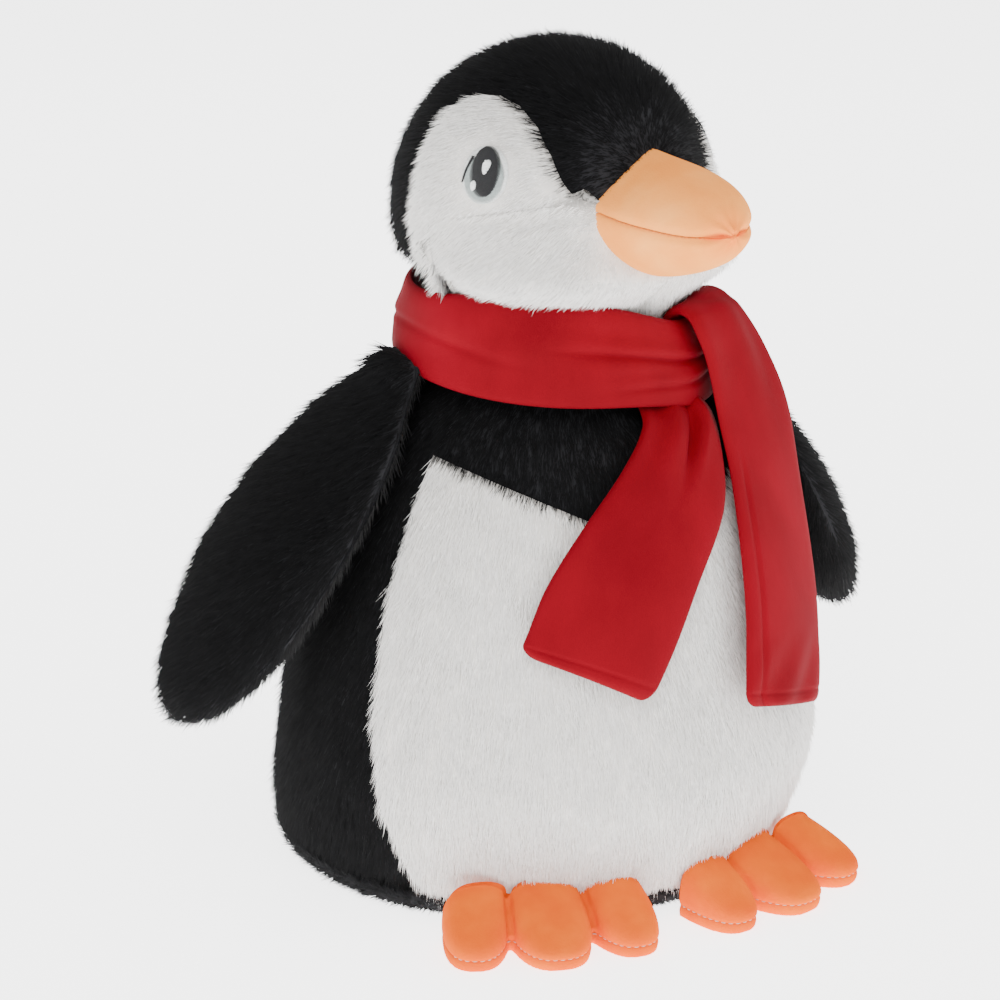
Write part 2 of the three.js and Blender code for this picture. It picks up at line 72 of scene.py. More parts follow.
HEAD_R, HEAD_Y, HEAD_TURN = 59, -4, 12
PEAK_Z = 248.5          # where the hood's peak ends above the beak
HEAD_Z = HEIGHT - HEAD_R
NECK_SIDE = [(43, 198), (46, 206), (48.5, 213), (51.5, 220)]      # radius, height
BALL_START = -14        # from this elevation up, the head is a ball
CHEEK_SWELL = {"by": 9, "at": -18, "over": 12.5}     # the cheeks are fullest below the beak
HOOD_LAST = 268         # longitude where the hood ends, under the back of the head
CHEEK = [               # outline of the white face seen from the side: y, height
    (-2, 190), (4, 212), (12, 226), (16, 240), (12, 252), (11, 268), (6, 280), (-3, 285),
    (-12, 285.5), (-22, 282.5), (-31, 276.5), (-39, 267), (-45, 257), (-51, PEAK_Z),
    (-90, PEAK_Z), (-90, 190),
]
BEAK = [                # y, half width, top, bottom
    (-42, 25, 266, 224), (-50, 26, 265.5, 224), (-61, 25.5, 263.5, 224.5), (-70, 23, 260.5, 226.5),
    (-79, 18, 256, 230), (-85, 11.5, 251, 234.5), (-88, 5, 246.5, 239.5),
]
# y, height of the seam between the beak's halves
MOUTH = [(-30, 248.5), (-52, 247), (-70, 244.5), (-82, 242.5), (-110, 240)]
BEAK_ROOT, BEAK_TIP = (0, -62, 247), (0, -89, 242)
EYE = {"y": -23.5, "z": 260, "half_width": 8.2, "half_height": 9.8, "back": 1.6}
EYE_REACH = 13          # every thread of an eye is nearer than this to its middle
EYE_HEIGHTS = {"patch": 56.6, "rim": 57.35, "pupil": 57.65, "glints": 57.95}

WING_ROOT = (64, 182)
WING_HANG = {"left": 31, "right": 34.5}
WING_REACH = {"left": 0.94, "right": 1}
WING_SWEEP = 6
SHOULDER = [(-15, 8, 2, 1), (-12, 15, 5, 3), (-5, 19, 7, 5)]   # blends the root into the body
WING = [                # way down the wing, half breadth, outer and inner thickness
    (-6, 11, 1, 1), (-4.5, 15, 4, 4), (0, 21, 6.5, 5), (14, 30, 9, 5), (34, 37, 12.5, 5),
    (56, 41, 16, 8), (78, 41, 17, 11), (98, 37.5, 15.5, 11.5), (114, 31, 13, 10.5),
    (127, 23, 10, 8), (135, 13.5, 6, 5), (138.5, 5, 2, 2),
]

FOOT = {"x": 37.6, "y": -60.7, "length": 32, "height": 19, "splay": 16}
# way across, way ahead, fan angle, half width
TOES = [(-20.8, 8.5, -12, 12), (0, 12.5, 0, 14.5), (20.8, 8.5, 12, 12)]
SOLE = 4.2              # height of the seam round a foot
FOOT_BACK = 14          # from a foot's origin forward to its flat back
PAD_MIDDLE = 6          # height of a toe's middle

COLLAR = {"y": -3.5, "low_front": 181, "high_front": 209.5, "low_back": 193, "high_back": 216.5}
COLLAR_TOP_R, COLLAR_FRONT_R, COLLAR_BACK_R = 48.5, 57, 52.5
COLLAR_DIP = {"by": 6.0, "at": 34, "over": 24}      # the band sags at the crossing
COLLAR_LIFT = {"by": 8.5, "at": -38, "over": 38}    # and its top rides up over the right cheek
CROSSING = 30           # where the scarf crosses, in degrees to the left
UNDER_TAIL = [          # one edge's x, z, then the other's, in a frame turned to the crossing
    (-28, 177.5, 1, 176), (-46, 163, -8, 161), (-62.5, 147, -18, 145),
    (-76, 128, -39, 122), (-86, 106, -62, 88),
]
OVER_TAIL = [           # one edge's x, y, z, then the other's, in the same frame
    (-3, -46, 199, 20, -43, 201), (-4, -49, 205, 21, -46.5, 208.5), (-5, -53.5, 208, 23, -51, 211),
    (-6, -59, 206.5, 26, -57, 208.5), (-6, -62.5, 201, 29, -61.5, 202.5),
    (-4.5, -66, 191, 35, -66.5, 190), (-5.5, -71.5, 172, 37, -75, 171),
    (-11, -80.5, 150, 34, -82.5, 146), (-24, -93, 115, 25, -95.5, 106),
    (-35, -100, 83, 17, -102, 69),
]

PILE_ROOM = 4.0        # from a panel's cloth to the envelope of its pile
PANEL_DEPTH = 3.0
SEAM_DIP = 1.6         # how far a panel pulls in at its seams

# ---------- Studio ----------
LENS, SENSOR = 101.7, 36
FLOOR_SIZE, FLOOR_GLOW, SURROUND = 6, 3.4, 0.95
LAMPS = [("key", (-0.9, -1.3, 1.6), 1.4, 33), ("fill", (1.5, -0.9, 0.9), 1.6, 9),
         ("back", (0.4, 1.5, 1.5), 1.2, 9)]         # name, place, size, power


# ---------- Camera ----------
def look_from(azimuth, elevation, distance, target, aside, below):
    """The camera looks past the target, which shows a little up and to one side."""
    a, e = math.radians(azimuth), math.radians(elevation)
    back = Vector((math.sin(a) * math.cos(e), -math.cos(a) * math.cos(e), math.sin(e)))
    right = Vector((math.cos(a), math.sin(a), 0))
    up = back.cross(right)
    target = Vector(target)
    data = bpy.data.cameras.new("camera")
    data.lens = LENS
    data.sensor_width = SENSOR
    camera = bpy.data.objects.new("camera", data)
    bpy.context.scene.collection.objects.link(camera)
    camera.location = target + back * distance
    aim = target - right * aside - up * below
    camera.rotation_mode = "QUATERNION"
    camera.rotation_quaternion = (aim - camera.location).to_track_quat("-Z", "Y")
    bpy.context.scene.camera = camera


look_from(-28.7, 15.87, 1.0136, (0, 0, 0.150), 0.0173, 0.0185)


# ---------- Shader helpers ----------
def shader(name, colour, roughness, sheen=0.0, sheen_tint=None, gloss=0.3):
    material = bpy.data.materials.new(name)
    material.use_nodes = True
    surface = material.node_tree.nodes["Principled BSDF"]
    surface.inputs["Base Color"].default_value = (*colour, 1)
    surface.inputs["Roughness"].default_value = roughness
    surface.inputs["Specular IOR Level"].default_value = gloss
    surface.inputs["Sheen Weight"].default_value = sheen
    surface.inputs["Sheen Roughness"].default_value = 0.4
    if sheen_tint:
        surface.inputs["Sheen Tint"].default_value = (*sheen_tint, 1)
    return material, material.node_tree, surface


def noise(tree, scale, detail=3.0, stretch=(1, 1, 1)):
    place = tree.nodes.new("ShaderNodeTexCoord")
    mapping = tree.nodes.new("ShaderNodeMapping")
    mapping.inputs["Scale"].default_value = stretch
    texture = tree.nodes.new("ShaderNodeTexNoise")
    texture.inputs["Scale"].default_value = scale
    texture.inputs["Detail"].default_value = detail
    tree.links.new(place.outputs["Object"], mapping.inputs["Vector"])
    tree.links.new(mapping.outputs["Vector"], texture.inputs["Vector"])
    return texture.outputs["Fac"]


def ramp(tree, factor, stops):
    node = tree.nodes.new("ShaderNodeValToRGB")
    while len(node.color_ramp.elements) < len(stops):
        node.color_ramp.elements.new(0.5)
    for element, (place, colour) in zip(node.color_ramp.elements, stops):
        element.position = place
        element.color = (*colour, 1)
    tree.links.new(factor, node.inputs["Fac"])
    return node.outputs["Color"]


def bump(tree, surface, heights):
    """Adds (factor, strength, distance) bumps one on another."""
    normal = None
    for factor, strength, distance in heights:
        node = tree.nodes.new("ShaderNodeBump")
        node.inputs["Strength"].default_value = strength
        node.inputs["Distance"].default_value = distance
        tree.links.new(factor, node.inputs["Height"])
        if normal:
            tree.links.new(normal, node.inputs["Normal"])
        normal = node.outputs["Normal"]
    tree.links.new(normal, surface.inputs["Normal"])


def shaded(colour, by):
    return tuple(min(1.0, c * by) for c in colour)


def cloth(name, colour, roughness, pattern, stops, bumps, sheen=0.0, tint=None, gloss=0.3):
    """A material coloured by one noise through a ramp, with its surface stirred by others."""
    material, tree, surface = shader(name, colour, roughness, sheen, tint, gloss)
    tree.links.new(ramp(tree, noise(tree, *pattern), stops), surface.inputs["Base Color"])
    bump(tree, surface, [(noise(tree, *stir), *size) for stir, *size in bumps])
    return material


def backing(name, colour):
    """Knitted backing cloth under a pile, seen only between the hairs."""
    return cloth(name, colour, 0.95, (90, 4),
                 [(0.3, shaded(colour, 0.8)), (0.7, shaded(colour, 1.1))],
                 [((900, 2, (1, 1, 0.25)), 0.5, 0.0006)])


BEAK_COLOUR = (0.92, 0.325, 0.058)
FOOT_COLOUR = (0.80, 0.115, 0.0006)
SCARF_COLOUR = (0.165, 0.0002, 0.0055)

black_backing = backing("black_plush_backing", (0.012, 0.012, 0.014))
white_backing = backing("white_plush_backing", (0.70, 0.67, 0.63))
# Short dense matt velour, mottled by how its pile lies.
foot_velour = cloth("foot_velour", FOOT_COLOUR, 0.95, (60, 3),
                    [(0.3, (0.74, 0.09, 0.0004)), (0.52, FOOT_COLOUR), (0.75, (0.87, 0.15, 0.002))],
                    [((160, 3), 0.25, 0.0008), ((1500, 2), 0.5, 0.0003)], gloss=0.06)
# Smooth brushed cloth, softly rippled and almost without sheen.
SCARF_LIGHT = (0.21, 0.0004, 0.008)
scarf_velour = cloth("scarf_velour", SCARF_COLOUR, 0.8, (26, 4, (1, 1, 0.6)),
                     [(0.3, (0.13, 0.0001, 0.004)), (0.5, SCARF_COLOUR), (0.75, SCARF_LIGHT)],
                     [((70, 3, (1, 1, 0.5)), 0.22, 0.0012), ((2200, 2), 0.35, 0.0002)],
                     0.02, SCARF_LIGHT, 0.08)


def pile_shades(name, colours, roughness, sheen, gloss):
    return [shader(f"{name}_{i}", colour, roughness, sheen, None, gloss)[0]
            for i, colour in enumerate(colours)]


black_pile = pile_shades("black_pile", [
    (0.0022, 0.0022, 0.0026), (0.0030, 0.0030, 0.0035), (0.0045, 0.0045, 0.0052),
    (0.0016, 0.0016, 0.0019),
], 0.8, 0.02, 0.15)
white_pile = pile_shades("white_pile", [
    (0.96, 0.94, 0.905), (0.98, 0.96, 0.925), (0.94, 0.915, 0.88), (0.97, 0.945, 0.91),
], 0.85, 0.12, 0.3)


# ---------- Geometry helpers ----------
def spline(points, steps):
    """A smooth line through the points, as many steps between each pair."""
    p = np.array(points, float)
    ends = np.vstack([2 * p[0] - p[1], p, 2 * p[-1] - p[-2]])
    out = []
    for i in range(len(p) - 1):
        a, b, c, d = ends[i:i + 4]
        for t in np.arange(steps) / steps:
            out.append(0.5 * (2 * b + (c - a) * t + (2 * a - 5 * b + 4 * c - d) * t ** 2
                              + (3 * b - a - 3 * c + d) * t ** 3))
    return np.array(out + [p[-1]])


def smoothstep(x):
    x = np.clip(x, 0, 1)
    return x * x * (3 - 2 * x)


def turned(x, y, degrees):
    """A vector turned counterclockwise."""
    c, s = math.cos(math.radians(degrees)), math.sin(math.radians(degrees))
    return x * c - y * s, x * s + y * c


def bell(x, middle, width):
    """1 at the middle and near 0 two widths away."""
    return np.exp(-((x - middle) / width) ** 2)


def unit(v):
    return v / np.maximum(np.linalg.norm(v, axis=-1, keepdims=True), 1e-12)


def grid_normals(grid, wrap, middle):
    """Unit normals of a grid of points, pointing away from the middle."""
    if wrap:
        du = np.roll(grid, -1, 0) - np.roll(grid, 1, 0)
    else:
        du = np.gradient(grid, axis=0)
    dv = np.gradient(grid, axis=1)
    normal = np.cross(du, dv)
    size = np.linalg.norm(normal, axis=-1)
    weak = size < 1e-12
    normal = unit(normal)
    outward = np.sum(normal * (grid - middle), axis=-1)
    if np.median(outward[~weak]) < 0:
        normal = -normal
    if weak.any():                       # a pole takes its neighbours' mean
        for i, j in np.argwhere(weak):
            k = j - 1 if j else j + 1
            normal[i, j] = unit(normal[:, k].mean(axis=0))
    return normal


def edge_distance(grid, wrap, pole):
    """Distance of each grid point to the grid's own border, along its lines."""
    def along(axis):
        step = np.linalg.norm(np.diff(grid, axis=axis), axis=-1)
        start = np.insert(np.cumsum(step, axis=axis), 0, 0, axis=axis)
        total = np.take(start, [-1], axis=axis)
        return start, total - start
    v_from, v_to = along(1)
    distance = v_from if pole else np.minimum(v_from, v_to)
    if not wrap:
        u_from, u_to = along(0)
        distance = np.minimum(distance, np.minimum(u_from, u_to))
    return distance


def mesh_object(name, vertices, faces, materials, smooth=True):
    mesh = bpy.data.meshes.new(name)
    mesh.from_pydata([tuple(v) for v in vertices], [], faces)
    work = bmesh.new()
    work.from_mesh(mesh)
    bmesh.ops.remove_doubles(work, verts=work.verts, dist=2e-6)
    bmesh.ops.dissolve_degenerate(work, edges=work.edges, dist=1e-6)
    bmesh.ops.recalc_face_normals(work, faces=work.faces)
    work.to_mesh(mesh)
    work.free()
    for material in materials:
        mesh.materials.append(material)
    if smooth:
        mesh.shade_smooth()
    piece = bpy.data.objects.new(name, mesh)
    bpy.context.scene.collection.objects.link(piece)
    return piece


def closed_grid(name, top, bottom, wrap, pole, materials):
    """A closed pad between two grids of points; a pole is where one edge is a single point."""
    nu, nv = top.shape[:2]
    vertices = np.vstack([top.reshape(-1, 3), bottom.reshape(-1, 3)])
    half = nu * nv
    at = lambda i, j: (i % nu) * nv + j
    faces = []
    for i in range(nu if wrap else nu - 1):
        for j in range(nv - 1):
            a, b, c, d = at(i, j), at(i + 1, j), at(i + 1, j + 1), at(i, j + 1)
            faces += [(a, b, c, d), (half + d, half + c, half + b, half + a)]
        faces.append((at(i, 0), half + at(i, 0), half + at(i + 1, 0), at(i + 1, 0)))
        if not pole:
            j = nv - 1
            faces.append((at(i + 1, j), half + at(i + 1, j), half + at(i, j), at(i, j)))
    if not wrap:
        for j in range(nv - 1):
            faces.append((at(0, j + 1), half + at(0, j + 1), half + at(0, j), at(0, j)))
            i = nu - 1
            faces.append((at(i, j), half + at(i, j), half + at(i, j + 1), at(i, j + 1)))
    return mesh_object(name, vertices, faces, materials)


def skin_of(envelope, middle, wrap=False, pole=False, room=PILE_ROOM, seam=SEAM_DIP):
    """The crowned cloth of a plush panel, below its envelope, and its normals."""
    normals = grid_normals(envelope, wrap, middle)
    gap = edge_distance(envelope, wrap, pole) / MM
    dip = seam * bell(gap, 0, 5.0)
    return envelope - normals * ((room + dip) * MM)[..., None], normals


# ---------- Pile ----------
def wander(points, size, seed):
    """A smooth random value from -1 to 1 that changes over the given size, in metres."""
    local = np.random.default_rng(seed)
    total = np.zeros(len(points))
    for _ in range(6):
        direction = unit(local.normal(size=3)) / size * local.uniform(3.0, 7.0)
        total += np.sin(points @ direction + local.uniform(0, 6.28))
    return total / 3.0


def strands(name, roots, directions, normals, lengths, width, shades):
    """Closed four-sided hairs, tapering to a point, shaded softly like the surface below."""
    n = len(roots)
    side = unit(np.cross(directions, normals))
    other = np.cross(side, directions)
    half = (width * 0.58)[:, None]
    corners = np.empty((n, 4, 3))
    for k in range(3):
        turn = 2 * math.pi * k / 3 + math.pi / 2
        corners[:, k] = roots + half * (math.cos(turn) * side + math.sin(turn) * other)
    corners[:, 3] = roots + directions * lengths[:, None]
    faces = np.array([(1, 0, 3), (2, 1, 3), (0, 2, 3), (0, 1, 2)])
    index = (np.arange(n)[:, None, None] * 4 + faces[None]).reshape(-1)
    mesh = bpy.data.meshes.new(name)
    mesh.vertices.add(n * 4)
    mesh.vertices.foreach_set("co", corners.reshape(-1))
    mesh.loops.add(n * 12)
    mesh.loops.foreach_set("vertex_index", index)
    mesh.polygons.add(n * 4)
    mesh.polygons.foreach_set("loop_start", np.arange(n * 4) * 3)
    mesh.polygons.foreach_set("material_index", np.repeat(rng.integers(0, len(shades), n), 4))
    mesh.polygons.foreach_set("use_smooth", np.ones(n * 4, bool))
    mesh.update(calc_edges=True)
    lifted = unit(normals + 0.14 * rng.normal(size=(n, 3)))
    mesh.normals_split_custom_set_from_vertices(np.repeat(lifted, 4, axis=0))
    for shade in shades:
        mesh.materials.append(shade)
    piece = bpy.data.objects.new(name, mesh)
    bpy.context.scene.collection.objects.link(piece)
    return piece


def scatter(skin, normals, wrap, per_mm2):
    """Random roots spread evenly over a grid, with the normals there."""
    nu, nv = skin.shape[:2]
    i = np.arange(nu if wrap else nu - 1)
    j = np.arange(nv - 1)
    ii, jj = (a.reshape(-1) for a in np.meshgrid(i, j, indexing="ij"))
    ni = (ii + 1) % nu
    a, b, c, d = skin[ii, jj], skin[ni, jj], skin[ni, jj + 1], skin[ii, jj + 1]
    area = np.linalg.norm(np.cross(c - a, d - b), axis=-1) / 2
    count = int(area.sum() / MM ** 2 * per_mm2)
    pick = rng.choice(len(area), count, p=area / area.sum())
    s, t = rng.random((2, count, 1))

    def mix(field):
        f00, f10 = field[ii[pick], jj[pick]], field[ni[pick], jj[pick]]
        f11, f01 = field[ni[pick], jj[pick] + 1], field[ii[pick], jj[pick] + 1]
        return (f00 * (1 - s) + f10 * s) * (1 - t) + (f01 * (1 - s) + f11 * s) * t

    return mix(skin), unit(mix(normals))


def pile(name, skin, normals, comb, shades, wrap=False, per_mm2=1.5, length=8.5, tilt=24,
         width=0.42, keep=None, stir=8, tuft=3.2, seed=1):
    """Grows hairs from a skin; comb gives the way they lie, keep their share of the length."""
    roots, upward = scatter(skin, normals, wrap, per_mm2)
    if keep is not None:
        share = keep(roots)
        roots, upward, share = roots[share > 0.05], upward[share > 0.05], share[share > 0.05]
    else:
        share = np.ones(len(roots))
    n = len(roots)
    flow = comb(roots, upward)
    flow = unit(flow - upward * np.sum(flow * upward, axis=-1, keepdims=True))
    side = np.cross(upward, flow)
    swirl = np.radians(stir * wander(roots, 0.030, seed)
                       + stir * 0.5 * wander(roots, 0.009, seed + 1)
                       + 9 * rng.normal(size=n))[:, None]
    flow = flow * np.cos(swirl) + side * np.sin(swirl)
    lift = np.radians(tilt + 5 * wander(roots, 0.012, seed + 2) + 7 * rng.normal(size=n))[:, None]
    lift = np.clip(lift, math.radians(4), math.radians(70))
    directions = unit(flow * np.cos(lift) + upward * np.sin(lift))
    lengths = share * length * MM * rng.uniform(0.7, 1.15, n)
    tips = roots + directions * lengths[:, None]
    # Neighbouring hairs lean together into small tufts.
    heads = rng.choice(n, max(int(n / (per_mm2 * tuft ** 2)), 1), replace=False)
    tree = kdtree.KDTree(len(heads))
    for k, h in enumerate(heads):
        tree.insert(roots[h], k)
    tree.balance()
    nearest = np.array([tree.find(r)[1] for r in roots])
    meeting = tips[heads[nearest]]
    pull = rng.uniform(0.05, 0.32, n)[:, None]
    tips = tips * (1 - pull) + (meeting * 0.6 + tips * 0.4) * pull
    directions = tips - roots
    lengths = np.linalg.norm(directions, axis=-1)
    return strands(name, roots - upward * 0.3 * MM, unit(directions), upward, lengths,
                   width * MM * rng.uniform(0.75, 1.25, n), shades)


def furry(name, skin, normals, inside, body, nodes, slot, material, shades, comb, wrap=False,
          pole=False, **options):
    """One plush panel: its padded cloth and the pile on it, riding on a body, or else fixed where
    it stands.
    """
    if inside is None:
        inside = skin - normals * PANEL_DEPTH * MM
    padding = closed_grid(name, skin, inside, wrap, pole, [material])
    fur = pile(f"{name}_pile", skin, normals, comb, shades, wrap, **options)
    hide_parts(*nodes)
    for piece in (padding, fur):
        if isinstance(body, str):
            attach(piece, body)
        else:
            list(body)
            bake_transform(piece)


def furry_panel(name, envelope, middle, *rest, room=PILE_ROOM, wrap=False, pole=False, **options):
    """A furry panel from the grid of its envelope."""
    skin, normals = skin_of(envelope, middle, wrap, pole, room)
    furry(name, skin, normals, None, *rest, wrap=wrap, pole=pole, **options)


# ---------- Torso ----------
torso_profile = spline(TORSO_SIDE, 10)


def torso_radius(z):
    return np.interp(z, torso_profile[:, 1], torso_profile[:, 0])


def torso_point(turn, z):
    """A point of the torso's envelope: turn from straight ahead, z in millimetres."""
    r = torso_radius(z)
    setback = BASE_SETBACK * (1 - smoothstep(np.asarray(z) / SETBACK_TOP))
    return np.stack([r * np.sin(turn), -r * np.cos(turn) + setback, z + 0 * turn], axis=-1) * MM


def v_height(turn):
    """Height of the V where the belly meets the chest."""
    z = np.full_like(turn, V_LOW)
    for _ in range(30):
        z = V_LOW + V_SLOPE * np.abs(torso_radius(z) * np.sin(turn))
    return z


def belly_span(z):
    """How far round the belly reaches at a height, either way from straight ahead."""
    return np.radians(np.interp(z, [row[0] for row in BELLY_EDGE], [row[1] for row in BELLY_EDGE]))


def torso_grid(first, last, low, high, nu, nv):
    """A panel between two side seams and two heights; each may vary, as a function."""
    at = lambda edge, value: edge(value) if callable(edge) else edge
    across = np.linspace(0, 1, nu)[:, None]
    rise = np.linspace(0, 1, nv)[None, :]
    z = 100 + 0 * across * rise
    for _ in range(8):
        turn = at(first, z) + (at(last, z) - at(first, z)) * across
        z = at(low, turn) + (at(high, turn) - at(low, turn)) * rise
    return torso_point(turn, z)


def down(points, normals):
    """The torso's pile lies downward."""
    return np.tile((0.0, 0.0, -1.0), (len(points), 1))


torso_middle = np.array((0, 0, 0.1))
right_seam = lambda z: -belly_span(z)
furry_panel("belly", torso_grid(right_seam, belly_span, BELLY_LOW, v_height, 60, 44), torso_middle,
            "torso", ["belly_panel", "body_stuffing", "pellet_pouch"], "white_plush",
            white_backing, white_pile, down, per_mm2=1.6, length=6.5, tilt=15, width=0.33, stir=6,
            room=3.0, seed=11)
furry_panel("chest", torso_grid(right_seam, belly_span, v_height, NECK_Z, 56, 20), torso_middle,
            "torso", ["chest_panel"], "black_plush", black_backing, black_pile, down,
            per_mm2=1.7, length=7, tilt=20, width=0.38, seed=21)
for word, first, last in (("left", belly_span, math.pi), ("right", -math.pi, right_seam)):
    furry_panel(f"back_{word}", torso_grid(first, last, BASE_SEAM_Z, NECK_Z, 44, 56), torso_middle,
                "torso", [f"back_panel_{word}"], "black_plush", black_backing, black_pile, down,
                per_mm2=1.5, length=8.5, tilt=22, width=0.40, seed=31)


def base_grid():
    """The base cloth: from its seam round the bottom edge to the middle of the underside."""
    rim = [(torso_radius(z), z) for z in np.linspace(BASE_SEAM_Z, 0.5, 5)]
    flat = [(r, 0.5) for r in np.linspace(rim[-1][0] - 2, 0, 14)]
    profile = np.array(rim + flat)
    turn = np.linspace(0, 2 * math.pi, 97)[:-1][:, None]
    setback = BASE_SETBACK * (1 - smoothstep(profile[None, :, 1] / SETBACK_TOP))
    return np.stack([profile[None, :, 0] * np.sin(turn),
                     -profile[None, :, 0] * np.cos(turn) + setback,
                     profile[None, :, 1] + 0 * turn], axis=-1) * MM


def rim_only(points):
    """Hairs only round the rim, shorter in front, so that the underside stays flat."""
    share = (points[:, 2] > 0.6 * MM).astype(float)
    return share * np.where(points[:, 1] < -40 * MM, 0.5, 0.85)


def outward(points, normals):
    return np.stack([points[:, 0], points[:, 1] - BASE_SETBACK * MM, 0 * points[:, 2]], axis=-1)


furry_panel("base", base_grid(), np.array((0, BASE_SETBACK * MM, 0.05)), "torso", ["base_panel"],
            "black_plush", black_backing, black_pile, outward, wrap=True, pole=True, per_mm2=0.9,
            length=6.5, tilt=12, keep=rim_only, room=0.3, seed=41)

# ---------- Head ----------
HEAD_TABLE = np.array(
    [(math.degrees(math.atan2(z - HEAD_Z, r)), math.hypot(r, z - HEAD_Z)) for r, z in NECK_SIDE]
    + [(BALL_START, HEAD_R), (90, HEAD_R)])


def head_point(lon, lat):
    """Envelope of the head in its own frame; lon 0 is ahead and 90 up, lat is toward a side."""
    direction = np.stack([np.sin(lat), -np.cos(lat) * np.cos(lon), np.cos(lat) * np.sin(lon)],
                         axis=-1)
    rise = np.degrees(np.arcsin(np.clip(direction[..., 2], -1, 1)))
    reach = np.interp(rise, HEAD_TABLE[:, 0], HEAD_TABLE[:, 1])
    floor = (HEAD_Z - NECK_SIDE[0][1]) / np.maximum(-direction[..., 2], 1e-6)
    reach = np.where(rise < HEAD_TABLE[0, 0], floor, reach)
    from_ahead = np.degrees(np.arctan2(np.abs(direction[..., 0]), -direction[..., 1]))
    ahead = smoothstep((100 - from_ahead) / 45)
    reach = reach + CHEEK_SWELL["by"] * ahead * bell(rise, CHEEK_SWELL["at"], CHEEK_SWELL["over"])
    return direction * reach[..., None] + np.array((0, 0, HEAD_Z))


def inside_cheek(y, z):
    inside = np.zeros(y.shape, bool)
    for (y0, z0), (y1, z1) in zip(CHEEK, CHEEK[1:] + CHEEK[:1]):
        if z0 != z1:
            crosses = ((z0 > z) != (z1 > z)) & (y < (y1 - y0) * (z - z0) / (z1 - z0) + y0)
            inside ^= crosses
    return inside


def cheek_edge(lon):
    """The latitude at which the cheek ends, for each longitude."""
    lat = np.linspace(math.pi / 2, 0, 721)[None, :]
    p = head_point(lon[:, None] + 0 * lat, lat + 0 * lon[:, None])
    outside = ~inside_cheek(p[..., 1], p[..., 2])
    first = np.where(outside.any(axis=1), outside.argmax(axis=1), lat.shape[1] - 1)
    return lat[0, first]


def placed_on_head(points):
    """From the head's own frame, in millimetres, to the row frame, in metres."""
    x, y = turned(points[..., 0], points[..., 1], HEAD_TURN)
    return np.stack([x, y + HEAD_Y, points[..., 2]], axis=-1) * MM


head_middle = placed_on_head(np.array((0.0, 0, HEAD_Z)))


def face_grid(side, nu=120, nv=26):
    lon = np.linspace(0, 2 * math.pi, nu + 1)[:-1]
    edge = np.maximum(cheek_edge(lon), math.radians(0.15))
    share = np.linspace(0, 1, nv)[None, :]
    lat = edge[:, None] + (math.pi / 2 - edge[:, None]) * share
    return placed_on_head(head_point(lon[:, None] + 0 * lat, side * lat))


def hood_grid(nu=90, nv=60):
    peak = math.asin((PEAK_Z - HEAD_Z) / HEAD_R)
    lon = np.linspace(peak + 0.01, math.radians(HOOD_LAST), nu)
    edge = cheek_edge(lon) - math.radians(0.3)
    lat = edge[:, None] * np.linspace(-1, 1, nv)[None, :]
    return placed_on_head(head_point(lon[:, None] + 0 * lat, lat))


beak_root = placed_on_head(np.array(BEAK_ROOT))
eye_out = unit(np.array((math.sqrt(HEAD_R ** 2 - EYE["y"] ** 2 - (EYE["z"] - HEAD_Z) ** 2),
                         EYE["y"], EYE["z"] - HEAD_Z)))
eye_places = [placed_on_head(np.array((0, EYE["back"], HEAD_Z)) + HEAD_R * eye_out * (side, 1, 1))
              for _, side in SIDES]


def away_from_beak(points, normals):
    """The head's pile runs back from the beak and falls down the sides."""
    return unit(points - beak_root) + np.array((0, 0.2, -0.75))


def clear_face(points):
    """No hair under the eyes, and short hair round them and at the beak."""
    share = np.ones(len(points))
    for eye in eye_places:
        d = (points - eye) / MM
        ring = np.sqrt(((d[:, 0] ** 2 + d[:, 1] ** 2) / EYE["half_width"] ** 2)
                       + (d[:, 2] / EYE["half_height"]) ** 2)
        share = np.minimum(share, 0.35 + 0.65 * smoothstep((ring - 1.1) / 1.0))
        share[ring < 1.08] = 0
    near_beak = np.linalg.norm((points - beak_root) / (31 * MM), axis=-1)
    share = np.minimum(share, 0.45 + 0.55 * smoothstep((near_beak - 0.9) / 0.5))
    return share


for word, side in SIDES:
    furry_panel(f"face_{word}_plush", face_grid(side), head_middle, "head", [f"face_{word}"],
                "white_plush", white_backing, white_pile, away_from_beak, wrap=True, pole=True,
                per_mm2=2.0, length=5.8, tilt=15, width=0.31, stir=6, keep=clear_face, room=3.0,
                seed=51)
furry_panel("hood", hood_grid(), head_middle, "head",
            ["head_gusset", "head_side_left", "head_side_right", "head_stuffing"], "black_plush",
            black_backing, black_pile, away_from_beak, per_mm2=1.8, length=8, tilt=24, width=0.38,
            seed=61, keep=clear_face)


# ---------- Wings ----------
def wing_placed(points, side, hang):
    """From a wing's own frame, in millimetres, to the row frame, in metres."""
    x, z = turned(points[..., 0], points[..., 2], side * hang)
    y, z = turned(points[..., 1], z, WING_SWEEP)
    return np.stack([x + side * WING_ROOT[0], y, z + WING_ROOT[1]], axis=-1) * MM


